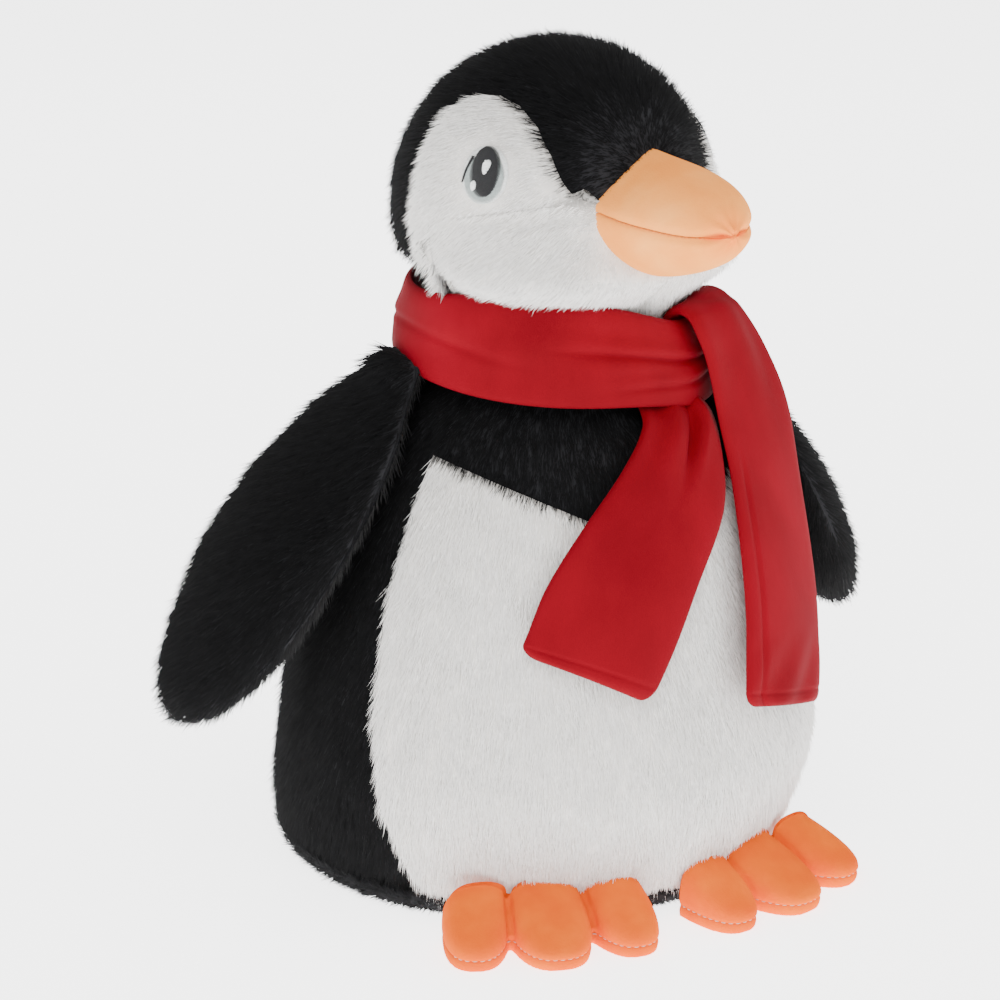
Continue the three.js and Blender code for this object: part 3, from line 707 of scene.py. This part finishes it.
def wing_panel(side, word, face):
    """One face of a wing: 1 is its outer face and 0 the one toward the body."""
    rows = spline(SHOULDER + WING[2:], 6)
    hang, reach = WING_HANG[word], WING_REACH[word]
    sign = side if face else -side
    thick = rows[:, 2] if face else rows[:, 3]
    turn = np.linspace(-math.pi / 2, math.pi / 2, 41)[None, :]
    local = np.stack([sign * (0.3 + thick[:, None] * np.cos(turn)),
                      np.maximum(rows[:, 1:2], 1) * np.sin(turn),
                      -reach * rows[:, 0:1] + 0 * turn], axis=-1)
    room = 3.6 if face else 3.0
    skin, normals = skin_of(local * MM, np.array((-sign * 0.02, 0, -0.07)), room=room,
                            seam=0.3)
    inside = skin.copy()
    inside[..., 0] = sign * 0.1 * MM
    skin[..., 0] = sign * np.maximum(sign * skin[..., 0], 0.4 * MM)
    origin = wing_placed(np.zeros(3), side, hang)
    placed = lambda p: wing_placed(p / MM, side, hang)
    flow = unit(placed(np.array((0, 0.25, -1)) * MM) - origin)
    name = f"wing_{word}_{'outer' if face else 'inner'}"
    nodes = [f"{name}_panel"] + ([f"wing_{word}_stuffing"] if face else [])
    root, elbow = placed(np.array((0, 0, 4)) * MM), placed(np.array((0, 0, -38)) * MM)
    furry(name, placed(skin), placed(normals) - origin, placed(inside),
          ("torso", f"wing_{word}", root, elbow), nodes, "black_plush", black_backing, black_pile,
          lambda points, upward: np.tile(flow, (len(points), 1)), per_mm2=1.5,
          length=9.5 if face else 8, tilt=22, seed=71 + face)


for word, side in SIDES:
    for face in (0, 1):
        wing_panel(side, word, face)


# ---------- Thread ----------
def threads(name, runs, radius, material, sides=6):
    """Closed rounded threads along runs of points, each run an (n, 3) array, in metres."""
    vertices, faces = [], []
    for run in runs:
        tangent = unit(np.gradient(run, axis=0))
        across = unit(np.cross(tangent, np.array((0.13, 0.29, 0.95))))
        other = np.cross(tangent, across)
        n = len(run)
        swell = np.sqrt(np.clip(1 - np.linspace(-1, 1, n) ** 6, 0.12, 1))
        base = len(vertices)
        for p, a, b, s in zip(run, across, other, swell):
            for k in range(sides):
                t = 2 * math.pi * k / sides
                vertices.append(p + radius * s * (math.cos(t) * a + math.sin(t) * b))
        for i in range(n - 1):
            for k in range(sides):
                m = (k + 1) % sides
                here, there = base + i * sides, base + (i + 1) * sides
                faces.append((here + k, here + m, there + m, there + k))
        faces.append(tuple(base + k for k in reversed(range(sides))))
        faces.append(tuple(base + (n - 1) * sides + k for k in range(sides)))
    return mesh_object(name, vertices, faces, [material])


def stitches(name, path, length, pitch, radius, material):
    """Separate short stitches along a path of points."""
    step = np.linalg.norm(np.diff(path, axis=0), axis=-1)
    place = np.insert(np.cumsum(step), 0, 0)
    runs = []
    for start in np.arange(0, place[-1] - length, pitch):
        at = np.linspace(start, start + length, 4)
        runs.append(np.stack([np.interp(at, place, path[:, k]) for k in range(3)], axis=-1))
    return threads(name, runs, radius, material)


# ---------- Beak ----------
def beak_velour_material():
    """Beak cloth, with painted shade: deeper orange at the pucker where the mouth's seam ends,
    standing in for the shade of its gathered creases.
    """
    material, tree, surface = shader("beak_velour", BEAK_COLOUR, 0.95, 0, None, 0.06)
    lay = ramp(tree, noise(tree, 70, 3), [(0.3, (0.88, 0.285, 0.045)), (0.52, BEAK_COLOUR),
                                          (0.75, (0.95, 0.37, 0.085))])
    # Painted shade: the colour turns deeper orange near the puckered tip, in place of the shade
    # that falls in its gathered creases.
    place = tree.nodes.new("ShaderNodeTexCoord")
    away = tree.nodes.new("ShaderNodeVectorMath")
    away.operation = "DISTANCE"
    away.inputs[1].default_value = placed_on_head(np.array((0.0, -90, 241.5)))
    tree.links.new(place.outputs["Object"], away.inputs[0])
    near = tree.nodes.new("ShaderNodeMapRange")
    near.inputs["From Min"].default_value = 0.002
    near.inputs["From Max"].default_value = 0.013
    near.inputs["To Min"].default_value = 0.75
    near.inputs["To Max"].default_value = 0.0
    tree.links.new(away.outputs["Value"], near.inputs["Value"])
    pucker_shade_mix = tree.nodes.new("ShaderNodeMix")
    pucker_shade_mix.data_type = "RGBA"
    pucker_shade_mix.inputs["B"].default_value = (0.88, 0.20, 0.02, 1)
    tree.links.new(near.outputs["Result"], pucker_shade_mix.inputs["Factor"])
    tree.links.new(lay, pucker_shade_mix.inputs["A"])
    tree.links.new(pucker_shade_mix.outputs["Result"], surface.inputs["Base Color"])
    bump(tree, surface, [(noise(tree, 160, 3), 0.2, 0.0008), (noise(tree, 1500, 2), 0.5, 0.0003)])
    return material


def beak_half(upper, nu=64, nv=48):
    """Upper or lower half of the beak, in the head's frame, as a grid of points."""
    tip = [(-89.4, 2.4, 244.4, 241.2), (-89.8, 0.3, 243.0, 242.4)]
    rows = spline(BEAK + tip, 10)
    y, half_width, top, bottom = (rows[:, k:k + 1] for k in range(4))
    mouth = np.interp(-y, [-p[0] for p in MOUTH], [p[1] for p in MOUTH])
    mouth = np.clip(mouth, bottom + 0.2, top - 0.2)
    turn = np.linspace(0, math.pi, nv)[None, :]
    share = smoothstep((y + 52) / -28)
    power = (1.28 + 0.72 * share) if upper else 2.1 + 0 * share
    c, s = np.cos(turn), np.sin(turn)
    x = half_width * np.sign(c) * np.abs(c) ** (2 / power)
    rise = np.abs(s) ** (2 / power)
    height = (top - mouth) * rise if upper else (bottom - mouth) * rise
    return np.stack([x, y + 0 * turn, mouth + height], axis=-1), mouth


def beak_piece(name, upper, node, extra, material):
    grid, mouth = beak_half(upper)
    normals = grid_normals(grid, False, np.array((0, -60, 245)))
    across = np.linalg.norm(np.diff(grid, axis=1), axis=-1)
    start = np.insert(np.cumsum(across, axis=1), 0, 0, axis=1)
    gap = np.minimum(start, start[:, -1:] - start)
    to_tip = np.linalg.norm(grid - np.array(BEAK_TIP), axis=-1)
    pucker = 1 + 1.2 * bell(to_tip, 0, 9)
    dip = 1.1 * bell(gap, 0, 1.8) * pucker * np.clip(to_tip / 4, 0, 1)
    round_tip = np.arctan2(grid[..., 2] - BEAK_TIP[2], grid[..., 0])
    creases = 0.35 * bell(to_tip, 0, 11) * np.sin(9 * round_tip)
    top = grid - normals * (dip + creases * np.clip(to_tip / 3, 0, 1))[..., None]
    floor = top.copy()
    sign = 1 if upper else -1
    floor[..., 2] = mouth + sign * 0.1
    floor[..., 0] *= 0.9
    top[..., 2] = np.where(sign * (top[..., 2] - mouth) < 0.25, mouth + sign * 0.25, top[..., 2])
    piece = closed_grid(name, placed_on_head(top), placed_on_head(floor), False, False, [material])
    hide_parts(node, *extra)
    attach(piece, "head")
    return top


beak_material = beak_velour_material()
upper_edge = beak_piece("beak_upper_velour", True, "beak_upper", ["beak_stuffing"], beak_material)
beak_piece("beak_lower_velour", False, "beak_lower", [], beak_material)
mouth_thread = shader("mouth_thread", (0.55, 0.16, 0.03), 0.7)[0]
mouth_runs = [upper_edge[14:-3, 0], upper_edge[14:-3, -1]]
for word, run in zip(("left", "right"), mouth_runs):
    lowered = run - np.array((0, 0, 0.35))
    seam = stitches(f"mouth_stitches_{word}", placed_on_head(lowered), 1.5 * MM, 2.2 * MM,
                    0.22 * MM, mouth_thread)
    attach(seam, "head")


# ---------- Eyes ----------
def eye_frame(side):
    """The middle of an eye on the head, and its directions: out, toward the beak, up."""
    out = eye_out * (side, 1, 1)
    up = unit(np.array((0, 0, 1)) - out * out[2])
    ahead = np.cross(out, up) * side
    return out, unit(ahead), up


def on_eye(side, across, up_by, radius):
    """A point of the eye in the row frame; across is toward the beak, in millimetres."""
    out, ahead, up = eye_frame(side)
    direction = unit(out + (across[..., None] * ahead + up_by[..., None] * up) / radius)
    return placed_on_head(np.array((0, 0, HEAD_Z)) + radius * direction)


def oval(s, t, middle, half, lean):
    """Below 1 inside a leaning oval."""
    x, y = turned(s - middle[0], t - middle[1], lean)
    return (x / half[0]) ** 2 + (y / half[1]) ** 2


def in_rim(s, t):
    return oval(s, t, (-1.3, -1.8), (7.3, 8.8), 4) < 1


def in_black(s, t):
    """The almond of the pupil, and the lash that leaves its edge away from the beak."""
    share = np.clip((4.9 - t) / 8.9, 0, 1)
    middle = -6.3 - 2.9 * share - 0.4 * np.sin(math.pi * share)
    lash = (np.abs(s - middle) < 0.6 - 0.2 * share) & (t > -4.0) & (t < 5.3)
    return (oval(s, t, (-1.0, 0.4), (5.6, 8.8), 4) < 1) | lash


def in_glint(s, t):
    """A large teardrop, narrower below, and a small oval under it."""
    narrow = 1 + 0.12 * (t - 1.8)
    tear = oval(-0.7 + (s + 0.7) / np.maximum(narrow, 0.2), t, (-0.7, 1.8), (1.4, 2.6), 18) < 1
    low = oval(s, t, (-4.6, -4.7), (1.15, 1.75), 12) < 1
    return tear | low


def satin(name, side, inside, radius, material, lean=35, pitch=0.44, thick=0.27):
    """Parallel embroidery threads that fill a shape on the eye."""
    along, across = turned(1, 0, lean), turned(0, 1, lean)
    reach = np.arange(-EYE_REACH, EYE_REACH, 0.12)
    runs = []
    for offset in np.arange(-EYE_REACH, EYE_REACH, pitch):
        s = along[0] * reach + across[0] * offset
        t = along[1] * reach + across[1] * offset
        wanted = inside(s, t).astype(int)
        edges = np.flatnonzero(np.diff(np.concatenate([[0], wanted, [0]])))
        for first, last in zip(edges[::2], edges[1::2]):
            if last - first < 4:
                continue
            pick = np.linspace(first, last - 1, 7).round().astype(int)
            bow = 0.10 * np.sin(np.linspace(0, math.pi, 7))
            run = [on_eye(side, s[k:k + 1], t[k:k + 1], radius + b)[0] for k, b in zip(pick, bow)]
            runs.append(np.array(run))
    return threads(name, runs, thick * MM, material)


def eye_base(side, word, material):
    turn = np.linspace(0, 2 * math.pi, 65)[:-1][:, None]
    share = np.linspace(1, 0, 8)[None, :]
    s = -EYE["back"] + 8.6 * share * np.cos(turn)
    t = -0.6 + 9.9 * share * np.sin(turn)
    rounded = 0.6 * (1 - share ** 6)
    top = on_eye(side, s, t, EYE_HEIGHTS["patch"])
    out = unit(top - head_middle)
    skin = top + out * (rounded * MM)[..., None]
    return closed_grid(f"eye_{word}_patch", skin, top - out * 1.6 * MM, True, True, [material])


def embroidery(name, colour, roughness):
    """Rayon thread, with a fine twist."""
    twist = (1800, 2, (1, 0.4, 1))
    return cloth(name, colour, roughness, twist,
                 [(0.3, shaded(colour, 0.75)), (0.7, shaded(colour, 1.15))],
                 [(twist, 0.3, 0.0002)], 0.2)


eye_black = embroidery("eye_thread_black", (0.004, 0.004, 0.005), 0.45)
eye_white = embroidery("eye_thread_white", (0.80, 0.82, 0.81), 0.45)
eye_grey = embroidery("eye_thread_grey", (0.30, 0.34, 0.33), 0.5)
eye_ground = embroidery("eye_thread_ground", (0.66, 0.67, 0.65), 0.6)
for word, side in SIDES:
    patch = eye_base(side, word, eye_ground)
    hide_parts(f"eye_{word}")
    layers = [patch,
              satin(f"eye_{word}_rim", side, in_rim, EYE_HEIGHTS["rim"], eye_grey, 80),
              satin(f"eye_{word}_pupil", side, in_black, EYE_HEIGHTS["pupil"], eye_black, 38),
              satin(f"eye_{word}_glints", side, in_glint, EYE_HEIGHTS["glints"], eye_white, 38)]
    for layer in layers:
        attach(layer, "head")


# ---------- Feet ----------
def blunt(v, power=0.76):
    return np.sign(v) * np.abs(v) ** power


def pad(half_width, front, back, rise, under, place):
    """A grid of points of a blunt cushion in a foot's frame, longer ahead than behind."""
    nu, nv = 40, 24
    lon = np.linspace(0, 2 * math.pi, nu, endpoint=False)[:, None]
    lat = np.linspace(-math.pi / 2, math.pi / 2, nv)[None, :]
    x = blunt(np.cos(lon)) * blunt(np.cos(lat)) * half_width
    y = blunt(np.sin(lon)) * blunt(np.cos(lat))
    y = np.where(y < 0, y * front, y * back)
    z = blunt(np.sin(lat), 0.7) * np.where(np.sin(lat) > 0, rise, under) + 0 * lon
    across, ahead, fan = place
    x, y = turned(x, y - ahead, fan)
    return np.stack([x + across, y, z + PAD_MIDDLE + 0 * x], axis=-1)


def foot_shape(side, word):
    """Three toes and the instep that joins them, melted into one skin."""
    work = bmesh.new()
    pads = [pad(half_width, FOOT["length"], 14, FOOT["height"] - PAD_MIDDLE, 14,
                (side * across, ahead, side * fan)) for across, ahead, fan, half_width in TOES]
    pads.append(pad(25, 9, 8, 7, 14, (0, 14, 0)))
    for points in pads:
        nu, nv = points.shape[:2]
        corners = [[work.verts.new(points[i, j] * MM) for j in range(nv)] for i in range(nu)]
        for i in range(nu):
            for j in range(nv - 1):
                n = (i + 1) % nu
                work.faces.new((corners[i][j], corners[n][j], corners[n][j + 1], corners[i][j + 1]))
    bmesh.ops.remove_doubles(work, verts=work.verts, dist=1e-5)
    bmesh.ops.recalc_face_normals(work, faces=work.faces)
    mesh = bpy.data.meshes.new(f"foot_{word}")
    work.to_mesh(mesh)
    work.free()
    piece = bpy.data.objects.new(f"foot_{word}", mesh)
    bpy.context.scene.collection.objects.link(piece)
    remesh = piece.modifiers.new("melt", "REMESH")
    remesh.mode, remesh.voxel_size = "VOXEL", 0.95 * MM
    soft = piece.modifiers.new("soften", "SMOOTH")
    soft.factor, soft.iterations = 0.5, 5
    result = piece.evaluated_get(bpy.context.evaluated_depsgraph_get())
    melted = bpy.data.meshes.new_from_object(result)
    bpy.data.objects.remove(piece)
    return melted


def toe_creases(points, side):
    """How deep the cloth is drawn in between two toes, in millimetres."""
    depth = np.zeros(len(points))
    for first, second in ((TOES[0], TOES[1]), (TOES[1], TOES[2])):
        gaps = []
        for across, _, fan, half_width in (first, second):
            x, _ = turned(points[:, 0] - side * across, points[:, 1], -side * fan)
            gaps.append(np.abs(x) - half_width)
        depth = np.maximum(depth, bell(gaps[0], gaps[1], 1.9))
    return 1.7 * depth * smoothstep((points[:, 2] - 1) / 4)


def foot(side, word):
    """The velour top and sole of a foot; returns the outline of the seam between them."""
    melted = foot_shape(side, word)
    co = np.empty(len(melted.vertices) * 3)
    melted.vertices.foreach_get("co", co)
    normal = np.empty(len(melted.vertices) * 3)
    melted.vertices.foreach_get("normal", normal)
    co, normal = co.reshape(-1, 3) / MM, normal.reshape(-1, 3)
    level = np.abs(normal[:, 2]) < 0.8
    groove = 0.8 * bell(co[:, 2], SOLE, 0.9) * level
    groove = groove + toe_creases(co, side)
    co -= normal * groove[:, None]
    slope = 1.18 - 0.84 * np.clip((-co[:, 1] - 10) / 36, 0, 1)
    co[:, 2] = np.where(co[:, 2] > SOLE, SOLE + (co[:, 2] - SOLE) * slope, co[:, 2])
    co[:, 2] = np.maximum(co[:, 2], 0.15)
    co[:, 1] = np.minimum(co[:, 1], -FOOT_BACK)
    melted.vertices.foreach_set("co", (co * MM).reshape(-1))

    def placed(p):
        x, y = turned(p[0], p[1], side * FOOT["splay"])
        return Vector((x + side * FOOT["x"] * MM, y + FOOT["y"] * MM, p[2]))

    for part, keep_above in (("top", True), ("sole", False)):
        work = bmesh.new()
        work.from_mesh(melted)
        cut = bmesh.ops.bisect_plane(
            work, geom=work.verts[:] + work.edges[:] + work.faces[:], dist=1e-7,
            plane_co=(0, 0, (SOLE + (0.05 if keep_above else -0.05)) * MM), plane_no=(0, 0, 1),
            clear_outer=not keep_above, clear_inner=keep_above)
        rim = [e for e in cut["geom_cut"] if isinstance(e, bmesh.types.BMEdge)]
        bmesh.ops.edgeloop_fill(work, edges=rim)
        for v in work.verts:
            v.co = placed(v.co)
        bmesh.ops.recalc_face_normals(work, faces=work.faces)
        mesh = bpy.data.meshes.new(f"foot_{word}_{part}_velour")
        work.to_mesh(mesh)
        if keep_above:
            ring = {v for e in rim if e.is_valid for v in e.verts}
            outline = [v.co.copy() for v in ring]
        work.free()
        mesh.materials.append(foot_velour)
        mesh.shade_smooth()
        piece = bpy.data.objects.new(mesh.name, mesh)
        bpy.context.scene.collection.objects.link(piece)
        nodes = [f"foot_{word}_{part}"] + ([f"foot_{word}_stuffing"] if keep_above else [])
        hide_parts(*nodes)
        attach(piece, f"foot_{word}")
    return outline


foot_thread = shader("foot_seam_thread", (0.50, 0.36, 0.28), 0.8)[0]


def ordered(points):
    """Points of a closed outline, walked from one to its nearest neighbour."""
    left = [np.array(p) for p in points]
    walk = [left.pop(int(np.argmax([p[1] for p in left])))]
    while left:
        gaps = [np.linalg.norm(p - walk[-1]) for p in left]
        k = int(np.argmin(gaps))
        if gaps[k] > 4 * MM:
            break
        walk.append(left.pop(k))
    return np.array(walk)


for word, side in SIDES:
    outline = ordered(foot(side, word))
    shown = outline[outline[:, 1] < (FOOT["y"] - FOOT_BACK - 5) * MM]
    seam = stitches(f"foot_{word}_stitches", shown, 1.7 * MM, 2.6 * MM, 0.28 * MM, foot_thread)
    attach(seam, f"foot_{word}")


# ---------- Scarf ----------
def collar_shape(nu=200, nv=40):
    turn = np.linspace(0, 2 * math.pi, nu + 1)[:-1][:, None]
    share = np.linspace(0, 1, nv)[None, :]
    forward = (1 + np.cos(turn)) / 2
    low = COLLAR["low_back"] + (COLLAR["low_front"] - COLLAR["low_back"]) * forward
    high = COLLAR["high_back"] + (COLLAR["high_front"] - COLLAR["high_back"]) * forward
    low_r = COLLAR_BACK_R + (COLLAR_FRONT_R - COLLAR_BACK_R) * forward
    degrees = (np.degrees(turn) + 180) % 360 - 180
    dip, lift = (bend["by"] * bell(degrees, bend["at"], bend["over"])
                 for bend in (COLLAR_DIP, COLLAR_LIFT))
    low, high = low - dip, high - dip + lift
    z = low + (high - low) * share
    middle = low_r + (COLLAR_TOP_R - low_r) * share + 2.0 + 0 * turn
    half = 1.75 * np.sqrt(np.clip(1 - np.abs(2 * share - 1) ** 7, 0, 1)) + 0.05
    barrel = 1.2 * np.sin(math.pi * share)
    # The long crease in the middle of the band, and a shorter one near its lower edge.
    line = 0.53 + 0.03 * np.sin(np.radians(degrees * 2.2)) - 0.0009 * degrees
    fade = smoothstep((degrees + 36) / 34) * smoothstep((52 - degrees) / 14)
    crease = fade * (-1.5 * bell(share, line, 0.028) + 0.9 * bell(share - line, 0.11, 0.075)
                     + 0.5 * bell(share - line, -0.10, 0.07))
    line = 0.20 + 0.0030 * np.clip(degrees, -10, 40)
    fade = smoothstep((degrees + 14) / 22) * smoothstep((52 - degrees) / 14)
    crease = crease + fade * (-0.9 * bell(share, line, 0.03)
                              + 0.6 * bell(share - line, 0.09, 0.06))
    ripple = 0.35 * np.sin(4.1 * turn + 7 * share) * np.sin(math.pi * share) \
        + 0.25 * np.sin(9 * turn - 11 * share + 1) * np.sin(math.pi * share)
    behind = 1 - smoothstep((60 - np.abs(degrees)) / 30)
    soft_fold = -0.8 * behind * bell(share - 0.45, 0.1 * np.sin(3 * turn), 0.05)

    def ring(r):
        return np.stack([r * np.sin(turn), COLLAR["y"] - r * np.cos(turn), z + 0 * r], axis=-1) * MM

    outer = ring(middle + half + barrel * 0.8 + crease + ripple + soft_fold)
    inner = ring(middle - half + barrel * 0.3)
    return outer, inner


outer, inner = collar_shape()
collar = closed_grid("scarf_collar_cloth", outer, inner, True, False, [scarf_velour])
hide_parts("scarf_collar")
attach(collar, "torso")


def to_row_frame(points):
    """From the tails' frame, turned to the crossing, to the row frame; millimetres."""
    x, y = turned(points[..., 0], points[..., 1], CROSSING)
    return np.stack([x, y, points[..., 2]], axis=-1)


def evenly(rows, pitch=1.3, hem=9, hem_pitch=0.4):
    """Rows spread by the strip's length, closer near its hem, and their share of the length."""
    middle = (rows[:, :3] + rows[:, 3:]) / 2
    place = np.insert(np.cumsum(np.linalg.norm(np.diff(middle, axis=0), axis=-1)), 0, 0)
    total = place[-1]
    at = np.concatenate([np.arange(0, total - hem, pitch), np.arange(total - hem, total, hem_pitch),
                         [total]])
    return np.stack([np.interp(at, place, rows[:, k]) for k in range(6)], axis=-1), at / total


def hem_inset(centre, radius):
    """Draws a strip's last rows in, so that its two lower corners are round."""
    run = np.linalg.norm(np.diff(centre.mean(axis=1), axis=0), axis=-1)
    left = np.append(np.cumsum(run[::-1])[::-1], 0)
    width = np.linalg.norm(centre[:, -1] - centre[:, 0], axis=-1)
    short = np.clip(radius - left, 0, radius)
    pull = (radius - np.sqrt(radius ** 2 - short ** 2)) / width
    share = np.linspace(0, 1, centre.shape[1])
    out = np.empty_like(centre)
    for i, (row, p) in enumerate(zip(centre, pull)):
        at = p + (1 - 2 * p) * share
        out[i] = np.stack([np.interp(at, share, row[:, k]) for k in range(3)], axis=-1)
    return out


def strip(name, centre, along, relief, thickness, node_names, start, end):
    """A doubled strip of cloth with rounded edges; relief lifts its front, in millimetres."""
    centre = hem_inset(centre, 5.5)
    normals = grid_normals(centre, False, np.array((0.0, 0, 130)))
    across = np.linspace(0, 1, centre.shape[1])[None, :]
    along = along[:, None]
    length = np.linalg.norm(np.diff(centre.mean(axis=1), axis=0), axis=-1).sum()
    to_hem = (1 - along) * length
    edge = np.sqrt(np.clip(1 - np.abs(2 * across - 1) ** 9, 0, 1))
    hem = np.sqrt(np.clip(1 - np.clip(1 - to_hem / 2.2, 0, 1) ** 2, 0, 1))
    # A row of stitches near the edge draws the doubled cloth in a little.
    welt = -0.35 * bell(to_hem, 4.5, 0.8)
    half = thickness / 2 * edge * hem + 0.04
    lift = (relief(across, along) + welt) * edge * hem
    front = centre + normals * (half + lift)[..., None]
    back = centre - normals * (half - 0.4 * lift)[..., None]
    piece = closed_grid(name, front * MM, back * MM, False, False, [scarf_velour])
    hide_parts(*node_names)
    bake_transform(piece)
    return piece


def under_tail():
    tucked = [(-17, 188, 1, 187), (-21, 183, 1, 182)]
    table = np.array(tucked + UNDER_TAIL, float)
    flat_rows = np.insert(np.insert(spline(table, 9), 1, 0, axis=1), 4, 0, axis=1)
    rows, along = evenly(flat_rows)
    share = np.linspace(0, 1, 44)[None, :]
    x = rows[:, 0:1] + (rows[:, 3:4] - rows[:, 0:1]) * share
    z = rows[:, 2:3] + (rows[:, 5:6] - rows[:, 2:3]) * share
    tuck = 4.0 * smoothstep((z - 174) / 8)
    reach = torso_radius(z) + 4.4 - tuck
    centre = to_row_frame(np.stack([x, -np.sqrt(reach ** 2 - x ** 2), z], axis=-1))

    def relief(u, v):
        gathers = 1.1 * bell(v, 0.16, 0.13) * np.cos(2 * math.pi * 2.4 * u + 0.4)
        lean = u - 0.60 + 0.35 * (v - 0.22)
        pinch = -2.6 * bell(v, 0.21, 0.11) * bell(lean, 0, 0.045)
        ridge = 1.3 * bell(v, 0.22, 0.12) * bell(lean, 0.12, 0.07)
        soft = 0.6 * np.sin(5 * u + 6 * v) * v
        hem = 0.5 * np.sin(9 * u + 1) * smoothstep((v - 0.8) / 0.2)
        return gathers + pinch + ridge + soft + hem

    strip("scarf_tail_under_cloth", centre, along, relief, 3.2, ["scarf_tail_under"],
          to_row_frame(np.array((-16.0, -59, 182))) * MM,
          to_row_frame(np.array((-28.0, -64, 160))) * MM)


def over_tail():
    rows, along = evenly(spline(OVER_TAIL, 8))
    ends = np.concatenate([to_row_frame(rows[:, :3]), to_row_frame(rows[:, 3:])], axis=1)
    share = np.linspace(0, 1, 48)
    centre = ends[:, None, :3] + (ends[:, None, 3:] - ends[:, None, :3]) * share[None, :, None]
    bow = 2.2 * np.sin(math.pi * share)[None, :, None]
    centre = centre + unit(centre * (1, 1, 0)) * bow

    def relief(u, v):
        seam = -1.0 * smoothstep((v - 0.42) / 0.12) * bell(u - 0.14, 0.05 * (v - 0.7), 0.018)
        fan = 0.6 * bell(v, 0.22, 0.12) * np.sin(2 * math.pi * 1.9 * u + 6 * v)
        fold = -0.9 * bell(v - 0.075, 0.05 * u, 0.012) * smoothstep((u - 0.25) / 0.3)
        diagonal = 0.5 * smoothstep((v - 0.82) / 0.12) * np.sin(15 * u + 34 * v)
        soft = 0.7 * np.sin(4 * u - 7 * v) * v
        return seam + fan + fold + diagonal + soft

    strip("scarf_tail_over_cloth", centre, along, relief, 3.4, ["scarf_tail_over", "scarf_loop"],
          to_row_frame(np.array((12.0, -60, 210))) * MM,
          to_row_frame(np.array((14.0, -68, 186))) * MM)


under_tail()
over_tail()


# ---------- Floor and light ----------
def stage():
    floor_material, tree, surface = shader("floor", (0.9, 0.9, 0.9), 0.9)
    mottle = noise(tree, 3, 2)
    tree.links.new(ramp(tree, mottle, [(0.3, (0.89, 0.89, 0.89)), (0.7, (0.91, 0.91, 0.91))]),
                   surface.inputs["Base Color"])
    surface.inputs["Emission Color"].default_value = (1, 1, 1, 1)
    surface.inputs["Emission Strength"].default_value = FLOOR_GLOW
    corners = [(x * FLOOR_SIZE, y * FLOOR_SIZE, 0) for x, y in ((-1, -1), (1, -1), (1, 1), (-1, 1))]
    floor = mesh_object("floor", corners, [(0, 1, 2, 3)], [floor_material])
    world = bpy.data.worlds.new("studio")
    bpy.context.scene.world = world
    world.use_nodes = True
    background = world.node_tree.nodes["Background"]
    background.inputs["Color"].default_value = (1, 1, 1, 1)
    background.inputs["Strength"].default_value = SURROUND
    for name, place, size, power in LAMPS:
        data = bpy.data.lights.new(name, "AREA")
        data.size, data.energy = size, power
        lamp = bpy.data.objects.new(name, data)
        lamp.location = place
        lamp.rotation_mode = "QUATERNION"
        lamp.rotation_quaternion = (Vector((0, 0, 0.15)) - Vector(place)).to_track_quat("-Z", "Y")
        bpy.context.scene.collection.objects.link(lamp)


stage()
